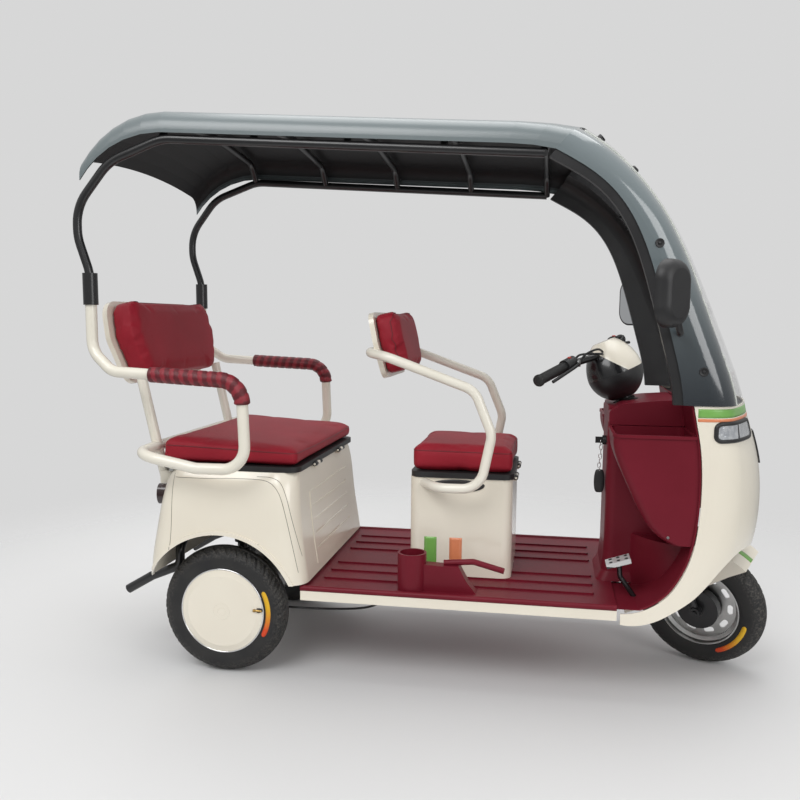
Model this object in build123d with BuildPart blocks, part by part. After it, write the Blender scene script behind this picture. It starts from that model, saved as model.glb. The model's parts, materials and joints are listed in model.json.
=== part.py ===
"""Electric mobility tricycle with a canopy, two seat rows and raked steering.

Millimetres.  While a piece is drawn, X = 0 is the rear axle, X points forward,
Y = 0 is the middle, Z = 0 is the ground.  Each piece is then moved so that the
origin lies on the ground under the middle of the whole machine.  Rear pieces
are measured from the rear axle and front pieces from the front hub, so the
wheelbase can change between them.
"""
import os
from math import asin, atan2, cos, hypot, radians, sin, sqrt, tan

from build123d import *

os.makedirs("parts", exist_ok=True)

# Wheels: 3.00-10 scooter tyres
tyre_r = 202.0
tyre_half = 40.0
tyre_wall = 8.0
tread_r = 42.0
shoulder_r = 184.0
belly_r = 160.0
bead_r = 127.0
rim_half = 36.0
rim_lip_r = 136.0
rim_wall = 3.0
wheelbase = 1500.0
rear_wheel_y = 335.0

# Steering: raked axis through the front hub, stored turned to the right
rake = 22.0
steer_rest = 27.0
lean = asin(sin(radians(rake)) * sin(radians(steer_rest)))
front_hub_z = tread_r + (tyre_r - tread_r) * cos(lean)
steer_up = (-sin(radians(rake)), 0.0, cos(radians(rake)))
front_hub = (wheelbase, 0.0, front_hub_z)
steer_axis = Axis(front_hub, steer_up)

# Whole machine: rearmost point of the roof posts, foremost point of the turned tyre
post_x = -387.0
post_bow = 35.0
canopy_tube_r = 13.0
rear_end = post_x - post_bow - canopy_tube_r
turned_nx = cos(radians(rake)) * sin(radians(steer_rest))
front_end = wheelbase + tread_r + (tyre_r - tread_r) * sqrt(1 - turned_nx**2)
mid_x = (rear_end + front_end) / 2

# Main body sizes that several pieces share
floor_z = 296.0
floor_thick = 8.0
floor_rear = 255.0
floor_front = wheelbase - 300.0
cowl_half = 376.0
cowl_low = 232.0
cowl_top = 882.0
seat_gap = 0.3
overrun = 1.0


def store(piece, label, steered=False):
    """Turns a steered piece to its rest angle, moves it to the origin and saves it."""
    solid = piece.part
    if steered:
        solid = solid.rotate(steer_axis, -steer_rest)
    solid = solid.moved(Location((-mid_x, 0, 0)))
    solid.label = label
    export_step(solid, "parts/" + label + ".step")


def outline(corner, size, shares):
    """Points given as shares of a size, measured from a corner."""
    return [(corner[0] + size[0] * across, corner[1] + size[1] * along)
            for across, along in shares]


def level(z, x=0.0, y=0.0):
    """A level plane at height z."""
    return Plane(origin=(x, y, z), x_dir=(1, 0, 0), z_dir=(0, 0, 1))


def upright(y=0.0):
    """An upright plane along the machine: first axis forward, second axis up."""
    return Plane(origin=(0, y, 0), x_dir=(1, 0, 0), z_dir=(0, -1, 0))


def rod(points, bend, radius, bore=0.0, mode=Mode.ADD):
    """Sweeps a round rod or tube along bent points."""
    with BuildLine() as run:
        if len(points) > 2:
            FilletPolyline(*points, radius=bend)
        else:
            Line(*points)
    with BuildSketch(Plane(origin=run.line @ 0, z_dir=run.line % 0)) as ring:
        Circle(radius)
        if bore:
            Circle(bore, mode=Mode.SUBTRACT)
    sweep(ring.sketch, path=run.line, mode=mode)


def slab(runs, half, mode=Mode.ADD, y=0.0, bend=0.0):
    """Extrudes a side-view outline to half a width each way from y.

    The outline is a list of runs of points.  A run of three or more points is a
    smooth curve, and straight lines join one run to the next.  With a bend, the
    outline is instead one closed polygon with rounded corners.
    """
    with BuildSketch(upright(y)) as face:
        with BuildLine():
            if bend:
                FilletPolyline(*sum(runs, []), radius=bend, close=True)
            else:
                for run, following in zip(runs, runs[1:] + runs[:1]):
                    if len(run) > 2:
                        Spline(*run)
                    elif len(run) == 2:
                        Line(*run)
                    Line(run[-1], following[0])
        make_face()
    extrude(face.sketch, amount=half, both=True, mode=mode)


def polygon(points):
    """Straight-sided runs for a slab."""
    return [[point] for point in points]


def block(x0, x1, y0, y1, z0, z1, corner=0.0, mode=Mode.ADD):
    """A box between named limits with rounded upright corners."""
    with BuildSketch(level(z0, (x0 + x1) / 2, (y0 + y1) / 2)) as face:
        if corner:
            RectangleRounded(x1 - x0, y1 - y0, corner)
        else:
            Rectangle(x1 - x0, y1 - y0)
    extrude(face.sketch, amount=z1 - z0, mode=mode)


def stack(rows, mode=Mode.ADD, ruled=False):
    """Lofts level rounded rectangles given as (z, x0, x1, y0, y1, corner)."""
    faces = []
    for z, x0, x1, y0, y1, corner in rows:
        with BuildSketch(level(z, (x0 + x1) / 2, (y0 + y1) / 2)) as row:
            RectangleRounded(x1 - x0, y1 - y0, corner)
        faces.append(row.sketch.face())
    loft(faces, ruled=ruled, mode=mode)


def bow_section(edge, crown, half, corner, side, inset=0.0, drop=0.0):
    """Draws one hood section between its two lower edges and its crown line."""
    depth = hypot(crown[0] - edge[0], crown[1] - edge[1])
    up = Vector((crown[0] - edge[0]) / depth, 0, (crown[1] - edge[1]) / depth)
    plane = Plane(origin=(edge[0], 0, edge[1]), x_dir=(0, 1, 0),
                  z_dir=Vector(0, 1, 0).cross(up))
    top = depth - inset
    wide = half - inset
    turn = corner - inset
    reach = top - side
    inner = wide - turn
    big = (reach**2 + inner**2 - turn**2) / (2 * (reach - turn))
    angle = atan2(side - (top - big), inner)
    meet = (big * cos(angle), top - big + big * sin(angle))
    mid = (inner + turn * cos(angle / 2), side + turn * sin(angle / 2))
    with BuildSketch(plane) as face:
        with BuildLine():
            Line((wide, -drop), (wide, side))
            ThreePointArc((wide, side), mid, meet)
            ThreePointArc(meet, (0, top), (-meet[0], meet[1]))
            ThreePointArc((-meet[0], meet[1]), (-mid[0], mid[1]), (-wide, side))
            Line((-wide, side), (-wide, -drop))
            Line((-wide, -drop), (wide, -drop))
        make_face()
    return face.sketch.face()


def wheel_plane(hub_x, hub_y, hub_z):
    """An upright plane through a hub: first axis along the axle, second axis up."""
    return Plane(origin=(hub_x, hub_y, hub_z), x_dir=(0, 1, 0), z_dir=(1, 0, 0))


def turned(plane, points):
    """Revolves a closed outline of (axle, radius) points about the axle."""
    with BuildSketch(plane) as face:
        with BuildLine():
            Polyline(*points, close=True)
        make_face()
    revolve(face.sketch, axis=Axis(plane.origin, plane.x_dir))


def tyre(plane):
    """A hollow scooter tyre about the hub of the given plane, with two tread grooves."""
    tread_edge = tyre_half - 3 * tyre_wall / 4
    lip_edge = rim_half - rim_wall
    toe = lip_edge - tyre_wall
    outer = [(lip_edge, bead_r), (lip_edge, rim_lip_r), (tyre_half, belly_r),
             (tread_edge, shoulder_r), (0, tyre_r)]
    inner = [(toe, bead_r), (toe, rim_lip_r), (tyre_half - tyre_wall, belly_r),
             (tread_edge - tyre_wall, shoulder_r - tyre_wall), (0, tyre_r - tyre_wall)]
    with BuildSketch(plane) as face:
        for (foot, lip, belly, edge, crown), mode in ((outer, Mode.ADD), (inner, Mode.SUBTRACT)):
            with BuildLine():
                Line(foot, lip)
                ThreePointArc(lip, belly, edge)
                ThreePointArc(edge, crown, (-edge[0], edge[1]))
                ThreePointArc((-edge[0], edge[1]), (-belly[0], belly[1]), (-lip[0], lip[1]))
                Line((-lip[0], lip[1]), (-foot[0], foot[1]))
                Line((-foot[0], foot[1]), foot)
            make_face(mode=mode)
        for across in (-tread_groove_y, tread_groove_y):
            with Locations((across, tyre_r)):
                Rectangle(tread_groove_wide, 2 * tread_groove_deep, mode=Mode.SUBTRACT)
    revolve(face.sketch, axis=Axis(plane.origin, plane.x_dir))


# Wheel details
tread_groove_y = 11.0
tread_groove_wide = 3.5
tread_groove_deep = 4.0
channel_drop = 14.0
channel_half = 12.0
channel_slope = 6.0
hub_r = 32.0
hub_half = 46.0
disc_half = 2.5
slot_count = 10
slot_r = 92.0
slot_long = 34.0
slot_wide = 17.0
drum_r = 66.0
drum_in = 16.0
drum_out = 44.0
running = 0.1
pin_r = 8.0
stub_r = 14.0
cap_r = 132.0
cap_rise = 8.0
cap_shoulder = 112.0
cap_wall = 2.0

front_plane = wheel_plane(*front_hub)
right_plane = wheel_plane(0, -rear_wheel_y, tyre_r)
left_plane = wheel_plane(0, rear_wheel_y, tyre_r)

seat_half = rim_half - rim_wall
slope_half = channel_half + channel_slope
channel_r = bead_r - channel_drop
weld_r = channel_r + rim_wall / 2
half_channel = [(slope_half, bead_r - rim_wall), (rim_half, bead_r - rim_wall),
                (rim_half, rim_lip_r), (seat_half, rim_lip_r), (seat_half, bead_r),
                (slope_half, bead_r), (channel_half, channel_r + rim_wall)]
channel = ([(channel_half, channel_r)] + half_channel
           + [(-across, radius) for across, radius in half_channel[::-1]]
           + [(-channel_half, channel_r)])

for label, plane in (("front_tyre", front_plane), ("right_tyre", right_plane),
                     ("left_tyre", left_plane)):
    with BuildPart() as wheel_tyre:
        tyre(plane)
    store(wheel_tyre, label, steered=plane is front_plane)

# Front rim: pressed disc with a ring of slots, and the hub shell that it turns on
with BuildPart() as front_rim:
    turned(front_plane, channel)
    bore = pin_r + running
    turned(front_plane, [(-disc_half, bore), (disc_half, bore), (disc_half, weld_r),
                         (-disc_half, weld_r)])
    turned(front_plane, [(disc_half, bore), (hub_half, bore), (hub_half, hub_r),
                         (disc_half, hub_r)])
    with BuildSketch(Plane(origin=front_hub, x_dir=(1, 0, 0), z_dir=(0, 1, 0))):
        with PolarLocations(slot_r, slot_count):
            SlotOverall(slot_long, slot_wide, rotation=90)
    extrude(amount=channel_half, both=True, mode=Mode.SUBTRACT)
store(front_rim, "front_rim", steered=True)

for label, plane, out in (("right_rim", right_plane, -1), ("left_rim", left_plane, 1)):
    with BuildPart() as rear_rim:
        turned(plane, channel)
        bore = stub_r + running
        turned(plane, [(-disc_half, bore), (disc_half, bore), (disc_half, weld_r),
                       (-disc_half, weld_r)])
        turned(plane, [(-out * drum_out, bore), (0, bore), (0, drum_r), (-out * drum_out, drum_r)])
    store(rear_rim, label)

# Rear hub covers: shallow pressed discs clipped inside the rim lips
for label, plane, out in (("right_hub_cover", right_plane, -1),
                          ("left_hub_cover", left_plane, 1)):
    with BuildPart() as cover:
        face = rim_half
        dome = face + cap_rise
        turned(plane, [(out * face, cap_r), (out * (face + cap_wall), cap_r),
                       (out * dome, cap_shoulder), (out * (dome + cap_wall), hub_r),
                       (out * (dome + cap_wall), 0), (out * dome, 0), (out * dome, hub_r),
                       (out * (dome - cap_wall), cap_shoulder),
                       (out * (face + cap_wall), cap_r - cap_rise), (out * face, cap_r - cap_rise)])
    store(cover, label)


def on_axis(height):
    """The point of the steering axis at a height above the ground."""
    shift = (height - front_hub_z) * tan(radians(rake))
    return (wheelbase - shift, 0.0, height)


# Driver's seat box: its place follows the front of the floor
box_legroom = 314.0
box_long = 326.0
box_x = (floor_front - box_legroom - box_long, floor_front - box_legroom)
box_half = 190.0
box_top = 618.0
box_corner = 34.0
box_wall = 4.0

# Chassis: two rails, cross tubes, a steering neck and two bare tube ends at the rear
rail_y = 190.0
rail_half = 18.0
rail_z = floor_z - floor_thick - rail_half - seat_gap
rail_front = floor_front + rail_half
rail_rear = -190.0
kick_x = 222.0
kick_z = 420.0
neck_r = 27.0
stem_r = 20.0
neck_bore = stem_r + running
neck_low = 470.0
neck_high = 700.0
frame_r = 15.0
frame_bend = 60.0
stub_y = 260.0
stub_top = 305.0
stub_bend = (-289.0, 264.0)
stub_end = (-375.0, 213.0)
riser_y = 72.0
riser_r = 12.0
body_bolt_x = 130.0
body_bolt_y = 402.0
body_bolt_r = 11.0
bracket_x = box_x[0] + 23.0
bracket_y = -300.0
bracket_r = 8.0
bracket_low = 239.5

with BuildPart() as chassis_frame:
    for side in (-1, 1):
        y = side * rail_y
        rod([(rail_front, y, rail_z), (kick_x, y, rail_z), (kick_x - frame_bend, y, kick_z),
             (rail_rear, y, kick_z)], frame_bend, rail_half)
        rod([(rail_front, side * riser_y, rail_z),
             (rail_front, side * riser_y, neck_low + frame_bend),
             (on_axis(neck_low)[0], side * riser_r, neck_low + 2 * frame_bend)],
            3 * riser_r, riser_r)
        rod([(rail_rear, y, kick_z), (rail_rear, side * stub_y, kick_z - frame_bend),
             (rail_rear, side * stub_y, stub_top),
             (stub_bend[0], side * stub_y, stub_bend[1])], frame_r * 2, frame_r)
        rod([(stub_bend[0], side * stub_y, stub_bend[1]),
             (stub_end[0], side * stub_y, stub_end[1])], 0, frame_r)
        rod([(body_bolt_x, y, kick_z), (body_bolt_x, side * body_bolt_y, kick_z)], 0, body_bolt_r)
    rod([(bracket_x, -rail_y, rail_z), (bracket_x, bracket_y, rail_z - bracket_r)], 0, riser_r)
    rod([(bracket_x, bracket_y, rail_z), (bracket_x, bracket_y, bracket_low)], 0, bracket_r)
    for x in (rail_front, rail_front / 2, kick_x + rail_half):
        rod([(x, -rail_y, rail_z), (x, rail_y, rail_z)], 0, frame_r)
    for x in (body_bolt_x, rail_rear):
        rod([(x, -rail_y, kick_z), (x, rail_y, kick_z)], 0, frame_r)
    rod([on_axis(neck_low), on_axis(neck_high)], 0, neck_r)
    rod([on_axis(neck_low - overrun), on_axis(neck_high + overrun)], 0, neck_bore,
        mode=Mode.SUBTRACT)
store(chassis_frame, "chassis_frame")

# Rear axle with the drive motor in its middle, and two spring units above it
axle_r = 24.0
motor_r = 85.0
motor_half = 95.0
plate_r = 72.0
plate_gap = 2.0
plate_thick = 6.0
axle_end = rear_wheel_y - drum_out - plate_gap

with BuildPart() as rear_axle:
    rod([(0, -axle_end, tyre_r), (0, axle_end, tyre_r)], 0, axle_r)
    rod([(0, -motor_half, tyre_r), (0, motor_half, tyre_r)], 0, motor_r)
    for side in (-1, 1):
        rod([(0, side * (axle_end - plate_thick), tyre_r), (0, side * axle_end, tyre_r)],
            0, plate_r)
    rod([(0, -rear_wheel_y - hub_r, tyre_r), (0, rear_wheel_y + hub_r, tyre_r)], 0, stub_r)
store(rear_axle, "rear_axle")

spring_r = 26.0
spring_core_r = 17.0
spring_wire_r = 5.0
spring_turns = 5
with BuildPart() as rear_springs:
    foot, head = tyre_r + axle_r - plate_gap, kick_z - rail_half
    coil = (head - foot) / spring_turns
    for side in (-1, 1):
        rod([(0, side * rail_y, foot), (0, side * rail_y, head)], 0, spring_core_r)
        for k in range(spring_turns):
            ring_z = foot + coil * (k + 1 / 2)
            rod([(0, side * rail_y, ring_z - spring_wire_r),
                 (0, side * rail_y, ring_z + spring_wire_r)], 0, spring_r)
    rod([(0, -axle_end, tyre_r), (0, axle_end, tyre_r)], 0, axle_r, mode=Mode.SUBTRACT)
store(rear_springs, "rear_springs")

# Battery pack: one plain block under the rear bench
pack_x = (-150.0, 60.0)
pack_half = 196.0
pack_z = (kick_z + rail_half, 600.0)
with BuildPart() as battery_pack:
    block(*pack_x, -pack_half, pack_half, *pack_z, frame_r)
store(battery_pack, "battery_pack")

# Floor: ribbed tread board with a cream skirt under its edge
rib_rise = 5.0
rib_wide = 26.0
rib_step = 88.0
rib_count = 7
rib_x = (floor_rear + 45.0, floor_front - 60.0)
edge_roll = 9.0
edge_y = cowl_half - overrun
edge_z = floor_z - edge_roll / 3
skirt_low = 256.0
skirt_wall = 4.0
skirt_half = cowl_half + skirt_wall

with BuildPart() as floor_board:
    block(floor_rear, floor_front, -cowl_half, cowl_half, floor_z - floor_thick, floor_z)
    for side in (-1, 1):
        rod([(floor_rear, side * edge_y, edge_z), (floor_front, side * edge_y, edge_z)],
            0, edge_roll)
    for k in range(rib_count):
        y = (k - (rib_count - 1) / 2) * rib_step
        if abs(y) > rib_wide:
            block(*rib_x, y - rib_wide / 2, y + rib_wide / 2, floor_z, floor_z + rib_rise,
                  rib_wide / 3)
store(floor_board, "floor_board")

skirt_top = floor_z - floor_thick
with BuildPart() as floor_skirt:
    block(floor_rear, floor_front, -skirt_half, skirt_half, skirt_low, skirt_top)
    block(floor_rear - overrun, floor_front + overrun, -cowl_half, cowl_half,
          skirt_low - overrun, skirt_top + overrun, mode=Mode.SUBTRACT)
    for side in (-1, 1):
        rod([(floor_rear - overrun, side * edge_y, edge_z),
             (floor_front + overrun, side * edge_y, edge_z)], 0, edge_roll, mode=Mode.SUBTRACT)
store(floor_skirt, "floor_skirt")

# Front body: the line in side view where the cream cowl meets the red inner shield,
# and the cowl's lower edge
seam_corner = (wheelbase - 290.0, 276.0)
seam_size = (208.0, cowl_top - seam_corner[1])
seam_shares = [(0.0, 0.0), (0.27, 0.0165), (0.461, 0.051), (0.601, 0.091), (0.779, 0.18),
               (0.915, 0.30), (0.975, 0.42), (1.0, 0.56), (0.995, 0.68), (0.955, 0.82),
               (0.9, 0.914), (0.851, 1.0)]
seam = outline(seam_corner, seam_size, seam_shares)
under_corner = (seam_corner[0], 244.0)
under_size = (490.0, 212.0)
under_shares = [(0.0, 0.0), (0.131, 0.014), (0.216, 0.09), (0.312, 0.231), (0.412, 0.406),
                (0.494, 0.613), (0.592, 0.868), (0.69, 1.0), (0.816, 0.972), (1.0, 0.925)]
under = outline(under_corner, under_size, under_shares)
cowl_back = wheelbase - 350.0
cowl_wall = 4.0
nose_reach = 146.0
nose_corner = 130.0
nose_turn = 216.0
# Level sections of the cowl as shares: height, nose, corner radius, start of the corner
cowl_shares = [(0.0, 0.411, 1.0, 1.0), (0.258, 0.808, 1.0, 1.0), (0.397, 0.959, 1.0, 1.0),
               (0.54, 1.0, 0.96, 0.981), (0.688, 0.945, 0.885, 0.926),
               (0.835, 0.781, 0.77, 0.833), (1.0, 0.555, 0.654, 0.718)]


def cowl_loft(inset, mode):
    """Lofts the cowl's outer or inner skin through its level sections."""
    rows = []
    for rise, nose, corner, back in cowl_shares:
        height = cowl_low + (cowl_top - cowl_low) * rise
        nose_x = wheelbase + nose_reach * nose
        rows.append(bow_section((cowl_back, height), (nose_x, height), cowl_half,
                                nose_corner * corner, nose_x - nose_turn * back - cowl_back,
                                inset, drop=inset))
    loft(rows, mode=mode)


with BuildPart() as front_cowl:
    cowl_loft(0.0, Mode.ADD)
    cowl_loft(cowl_wall, Mode.SUBTRACT)
    slab([seam, [(under[-1][0], cowl_top)], under[::-1]], 2 * cowl_half, mode=Mode.INTERSECT)
store(front_cowl, "front_cowl")

# Inner shield: leg panel, centre spine over the wheel, two open pouches, and the dash
panel_thick = 5.0
shield_gap = 1.0
shield_half = cowl_half - cowl_wall - shield_gap
seam_gap = 1.5
spine_half = 120.0
spine_rear = wheelbase - 326.0
spine_front = wheelbase - 60.0
spine_corner = 30.0
spine_foot = 22.0
spine_foot_tall = 90.0
dash_z = 852.0
dash_deep = 14.0
dash_size = (230.0, 80.0)
dash_shares = [(0.0, 0.0), (0.0, 0.5), (0.183, 0.8), (0.548, 0.925), (0.913, 1.0), (1.0, 0.0)]
dash_bend = 9.0
pouch_in = spine_half + 30.0
pouch_out = shield_half - 5.0
pouch_mid = (pouch_in + pouch_out) / 2
pouch_half = (pouch_out - pouch_in) / 2
pouch_top = 796.0
pouch_tall = 314.0
pouch_wall = 5.0
pouch_corner = 25.0
pouch_lip = 4.0
pouch_lip_tall = 9.0
pouch_reach = 238.0
pouch_front = wheelbase - 86.0
# Pouch rows as shares: rise above its foot, and reach behind the panel
pouch_shares = [(0.0, 0.29), (0.121, 0.52), (0.376, 0.73), (0.758, 0.957), (1.0, 1.0)]
# The hollow's front face at those rows, as shares of the reach behind the panel
hollow_shares = [0.084, 0.063, 0.042, 0.05, 0.097]
well_r = 272.0
well_top = 452.0
dash_hole_r = 40.0
panel = [(x - seam_gap, z + seam_gap) for x, z in seam[1:]]
inner_panel = [(x - seam_gap - panel_thick, z + panel_thick) for x, z in seam[1:]]
panel_foot = (floor_front + seam_gap, skirt_top)
shield_rear = spine_rear - spine_foot - panel_thick


def pouch_rows(grow, lift, front_shares):
    """Rows of one pouch, grown sideways and lifted, out to the given front faces."""
    rows = []
    for (rise, reach), front in zip(pouch_shares, front_shares):
        rows.append((pouch_top - pouch_tall * (1 - rise) + lift,
                     pouch_front - pouch_reach * reach - grow, pouch_front - pouch_reach * front,
                     pouch_in - grow, pouch_out + grow, pouch_corner + grow))
    return rows


with BuildPart() as inner_shield:
    slab([[panel_foot], inner_panel, [(wheelbase, cowl_top)], [(wheelbase, skirt_top)]],
         shield_half)
    stack([(floor_z, spine_rear - spine_foot, spine_front, -spine_half - spine_foot / 2,
            spine_half + spine_foot / 2, spine_corner),
           (floor_z + spine_foot_tall / 3, spine_rear - spine_foot / 4, spine_front,
            -spine_half - spine_foot / 8, spine_half + spine_foot / 8, spine_corner),
           (floor_z + spine_foot_tall, spine_rear, spine_front, -spine_half, spine_half,
            spine_corner),
           (dash_z, spine_rear, spine_front, -spine_half, spine_half, spine_corner)], ruled=True)
    with BuildSketch(level(skirt_top, wheelbase)) as well:
        Circle(well_r)
    extrude(well.sketch, amount=well_top - skirt_top)
    outward = [-0.2] * len(pouch_shares)
    for side in (-1, 1):
        rows = pouch_rows(0.0, 0.0, outward)
        lip = pouch_rows(pouch_lip, 0.0, outward)[-1]
        if side < 0:
            rows = [(z, x0, x1, -y1, -y0, corner) for z, x0, x1, y0, y1, corner in rows]
            lip = (*lip[:3], -lip[4], -lip[3], lip[5])
        stack(rows)
        block(*lip[1:5], pouch_top - pouch_lip_tall, pouch_top, lip[5])
    slab(polygon(outline((spine_rear, dash_z - dash_deep - dash_size[1] / 2), dash_size,
                         dash_shares)), pouch_in, bend=dash_bend)
    # Keep what lies behind the seam, then hollow the spine, well, dash and pouches
    slab([[(shield_rear, skirt_top)], [(floor_front, skirt_top)], panel,
          [(shield_rear, cowl_top)]], cowl_half, mode=Mode.INTERSECT)
    with BuildSketch(level(skirt_low, wheelbase)) as well:
        Circle(well_r - panel_thick)
    extrude(well.sketch, amount=well_top - skirt_low - panel_thick, mode=Mode.SUBTRACT)
    block(spine_rear + panel_thick, spine_front + spine_foot, -spine_half + panel_thick,
          spine_half - panel_thick, skirt_low, dash_z - dash_deep, spine_corner - panel_thick,
          mode=Mode.SUBTRACT)
    for side in (-1, 1):
        rows = pouch_rows(-pouch_wall, pouch_wall, hollow_shares)
        if side < 0:
            rows = [(z, x0, x1, -y1, -y0, corner) for z, x0, x1, y0, y1, corner in rows]
        stack(rows, mode=Mode.SUBTRACT)
    rod([on_axis(dash_z - 2 * dash_hole_r), on_axis(dash_z + 2 * dash_hole_r)], 0, dash_hole_r,
        mode=Mode.SUBTRACT)
store(inner_shield, "inner_shield")

# Scuttle: level deck that closes the cowl's top and carries the canopy's feet
scuttle_z = (868.0, 876.0)
scuttle_back = wheelbase - 107.0
scuttle_front = wheelbase + 84.0
scuttle_corner = 85.0
scuttle_side = 38.0
with BuildPart() as scuttle:
    deck = bow_section((scuttle_back, scuttle_z[0]), (scuttle_front, scuttle_z[0]), cowl_half,
                       scuttle_corner, scuttle_side, inset=cowl_wall)
    extrude(deck, amount=-(scuttle_z[1] - scuttle_z[0]))
    cowl_loft(cowl_wall, Mode.INTERSECT)
store(scuttle, "scuttle")

# Lamps that follow the cowl's surface, and the slotted dark grille at its nose
lamp_x = wheelbase - 50.0
lamp_in = cowl_half - 148.0
lamp_z = (789.0, 831.0)
lamp_rise = 5.0
grille_half = 118.0
grille_z = (690.0, 786.0)
grille_slots = 5
grille_slot = 7.0

with BuildPart() as headlamps:
    cowl_loft(-lamp_rise, Mode.ADD)
    block(lamp_x, wheelbase + 2 * nose_reach, -2 * cowl_half, 2 * cowl_half, *lamp_z,
          mode=Mode.INTERSECT)
    block(lamp_x - overrun, wheelbase + 3 * nose_reach, -lamp_in, lamp_in,
          lamp_z[0] - overrun, lamp_z[1] + overrun, mode=Mode.SUBTRACT)
    cowl_loft(0.0, Mode.SUBTRACT)
store(headlamps, "headlamps")

slot_pitch = (grille_z[1] - grille_z[0]) / (grille_slots + 1)
with BuildPart() as slot_skin:
    cowl_loft(-2 * lamp_rise, Mode.ADD)
    cowl_loft(-lamp_rise / 2, Mode.SUBTRACT)
with BuildPart() as nose_grille:
    cowl_loft(-lamp_rise, Mode.ADD)
    block(lamp_x, wheelbase + 2 * nose_reach, -grille_half, grille_half, *grille_z,
          mode=Mode.INTERSECT)
    for k in range(grille_slots):
        z = grille_z[0] + slot_pitch * (k + 1)
        with BuildPart(mode=Mode.SUBTRACT):
            add(slot_skin.part)
            block(lamp_x, wheelbase + 3 * nose_reach, -grille_half + slot_pitch / 2,
                  grille_half - slot_pitch / 2, z - grille_slot / 2, z + grille_slot / 2,
                  mode=Mode.INTERSECT)
    cowl_loft(0.0, Mode.SUBTRACT)
store(nose_grille, "nose_grille")

# Hinges of the two seat lids: a fixed knuckle and pin between two turning knuckles
knuckle_r = 7.0
knuckle_half = 12.0
hinge_pin_r = 4.0
hinge_half = 36.0
knuckle_gap = 0.5
body_top = 645.0
box_hinge = (box_x[1] + knuckle_r + overrun, box_top)
box_hinge_y = 110.0
bench_hinge = (247.0, body_top)
bench_hinge_y = 150.0


def fixed_knuckles(axis, hinge_y, wall_x):
    """Adds the fixed half of a pair of hinges, on leaves that reach back to a wall."""
    for middle in (-hinge_y, hinge_y):
        for half, radius in ((knuckle_half, knuckle_r), (hinge_half, hinge_pin_r)):
            rod([(axis[0], middle - half, axis[1]), (axis[0], middle + half, axis[1])], 0, radius)
        block(wall_x, axis[0], middle - knuckle_half, middle + knuckle_half,
              axis[1] - 2 * knuckle_r, axis[1] - knuckle_r / 2)


def lid_knuckles(axis, hinge_y):
    """Adds the turning half of a pair of hinges and clears the fixed half."""
    clear_half = knuckle_half + knuckle_gap
    pin_half = hinge_half + overrun
    for middle in (-hinge_y, hinge_y):
        for side in (-1, 1):
            rod([(axis[0], middle + side * clear_half, axis[1]),
                 (axis[0], middle + side * hinge_half, axis[1])], 0, knuckle_r)
        for half, radius in ((pin_half, hinge_pin_r + running),
                             (clear_half, knuckle_r + knuckle_gap)):
            rod([(axis[0], middle - half, axis[1]), (axis[0], middle + half, axis[1])],
                0, radius, mode=Mode.SUBTRACT)


# Rear body: hollow housing over the rear wheels and the battery
body_low = 306.0
body_rear = -236.0
body_front = 274.0
body_half = 406.0
body_corner = 60.0
body_wall = 4.0
# Level sections as shares: rise, rear end, front end, half width, corner radius
body_shares = [(0.0, 1.0, 1.0, 1.0, 1.0), (0.277, 0.97, 0.949, 0.995, 1.0),
               (0.631, 0.881, 0.901, 0.978, 1.0), (0.867, 0.809, 0.876, 0.948, 1.033),
               (1.0, 0.737, 0.85, 0.892, 1.067)]
arch_r = 250.0
arch_lip = 12.0
arch_lip_rise = 4.0
door_half = 235.0
door_z = (332.0, 566.0)
door_x = (100.0, 300.0)
door_rise = 2.0
groove = 7.0
groove_count = 4
groove_step = 46.0


def body_row(rise, inset=0.0):
    """Rear end, front end, half width and corner of the rear body at a share of its height."""
    for low, high in zip(body_shares, body_shares[1:]):
        if rise <= high[0]:
            break
    part = (rise - low[0]) / (high[0] - low[0])
    back, front, half, corner = [a + (b - a) * part for a, b in zip(low[1:], high[1:])]
    return (body_rear * back + inset, body_front * front - inset,
            body_half * half - inset, body_corner * corner - inset)


def body_loft(inset, mode, floor=0.0):
    """Lofts the rear body's skin, with its top lowered by the inset."""
    rows = []
    for share in body_shares:
        z = body_low + (body_top - body_low) * share[0]
        if share is body_shares[-1]:
            z -= inset
        elif share is body_shares[0]:
            z -= floor
        back, front, half, corner = body_row(share[0], inset)
        rows.append((z, back, front, -half, half, corner))
    stack(rows, mode=mode)


with BuildPart() as arch_lips:
    body_loft(-arch_lip_rise, Mode.ADD)
    rod([(0, -2 * rear_wheel_y, tyre_r), (0, 2 * rear_wheel_y, tyre_r)], 0, arch_r + arch_lip,
        mode=Mode.INTERSECT)
    body_loft(arch_lip_rise / 2, Mode.SUBTRACT, floor=overrun)

with BuildPart() as rear_body:
    body_loft(0.0, Mode.ADD)
    add(arch_lips.part)
    body_loft(body_wall, Mode.SUBTRACT, floor=overrun)
    rod([(0, -2 * rear_wheel_y, tyre_r), (0, 2 * rear_wheel_y, tyre_r)], 0, arch_r,
        mode=Mode.SUBTRACT)
    block(*door_x, -door_half, door_half, *door_z, mode=Mode.SUBTRACT)
    rod([(body_bolt_x, -body_bolt_y, kick_z), (body_bolt_x, body_bolt_y, kick_z)], 0,
        body_bolt_r, mode=Mode.SUBTRACT)
    fixed_knuckles(bench_hinge, bench_hinge_y, bench_hinge[0] - frame_r)
store(rear_body, "rear_body")

# Front access panel with level grooves
with BuildPart() as access_panel:
    body_loft(-door_rise, Mode.ADD)
    body_loft(body_wall, Mode.SUBTRACT, floor=2 * overrun)
    block(*door_x, -door_half, door_half, *door_z, mode=Mode.INTERSECT)
    for k in range(groove_count):
        z = door_z[0] + groove_step * (k + 1)
        x = body_row((z - body_low) / (body_top - body_low))[1]
        block(x, x + groove, -door_half + groove_step / 2, door_half - groove_step / 2,
              z, z + groove, mode=Mode.SUBTRACT)
store(access_panel, "access_panel")

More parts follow.
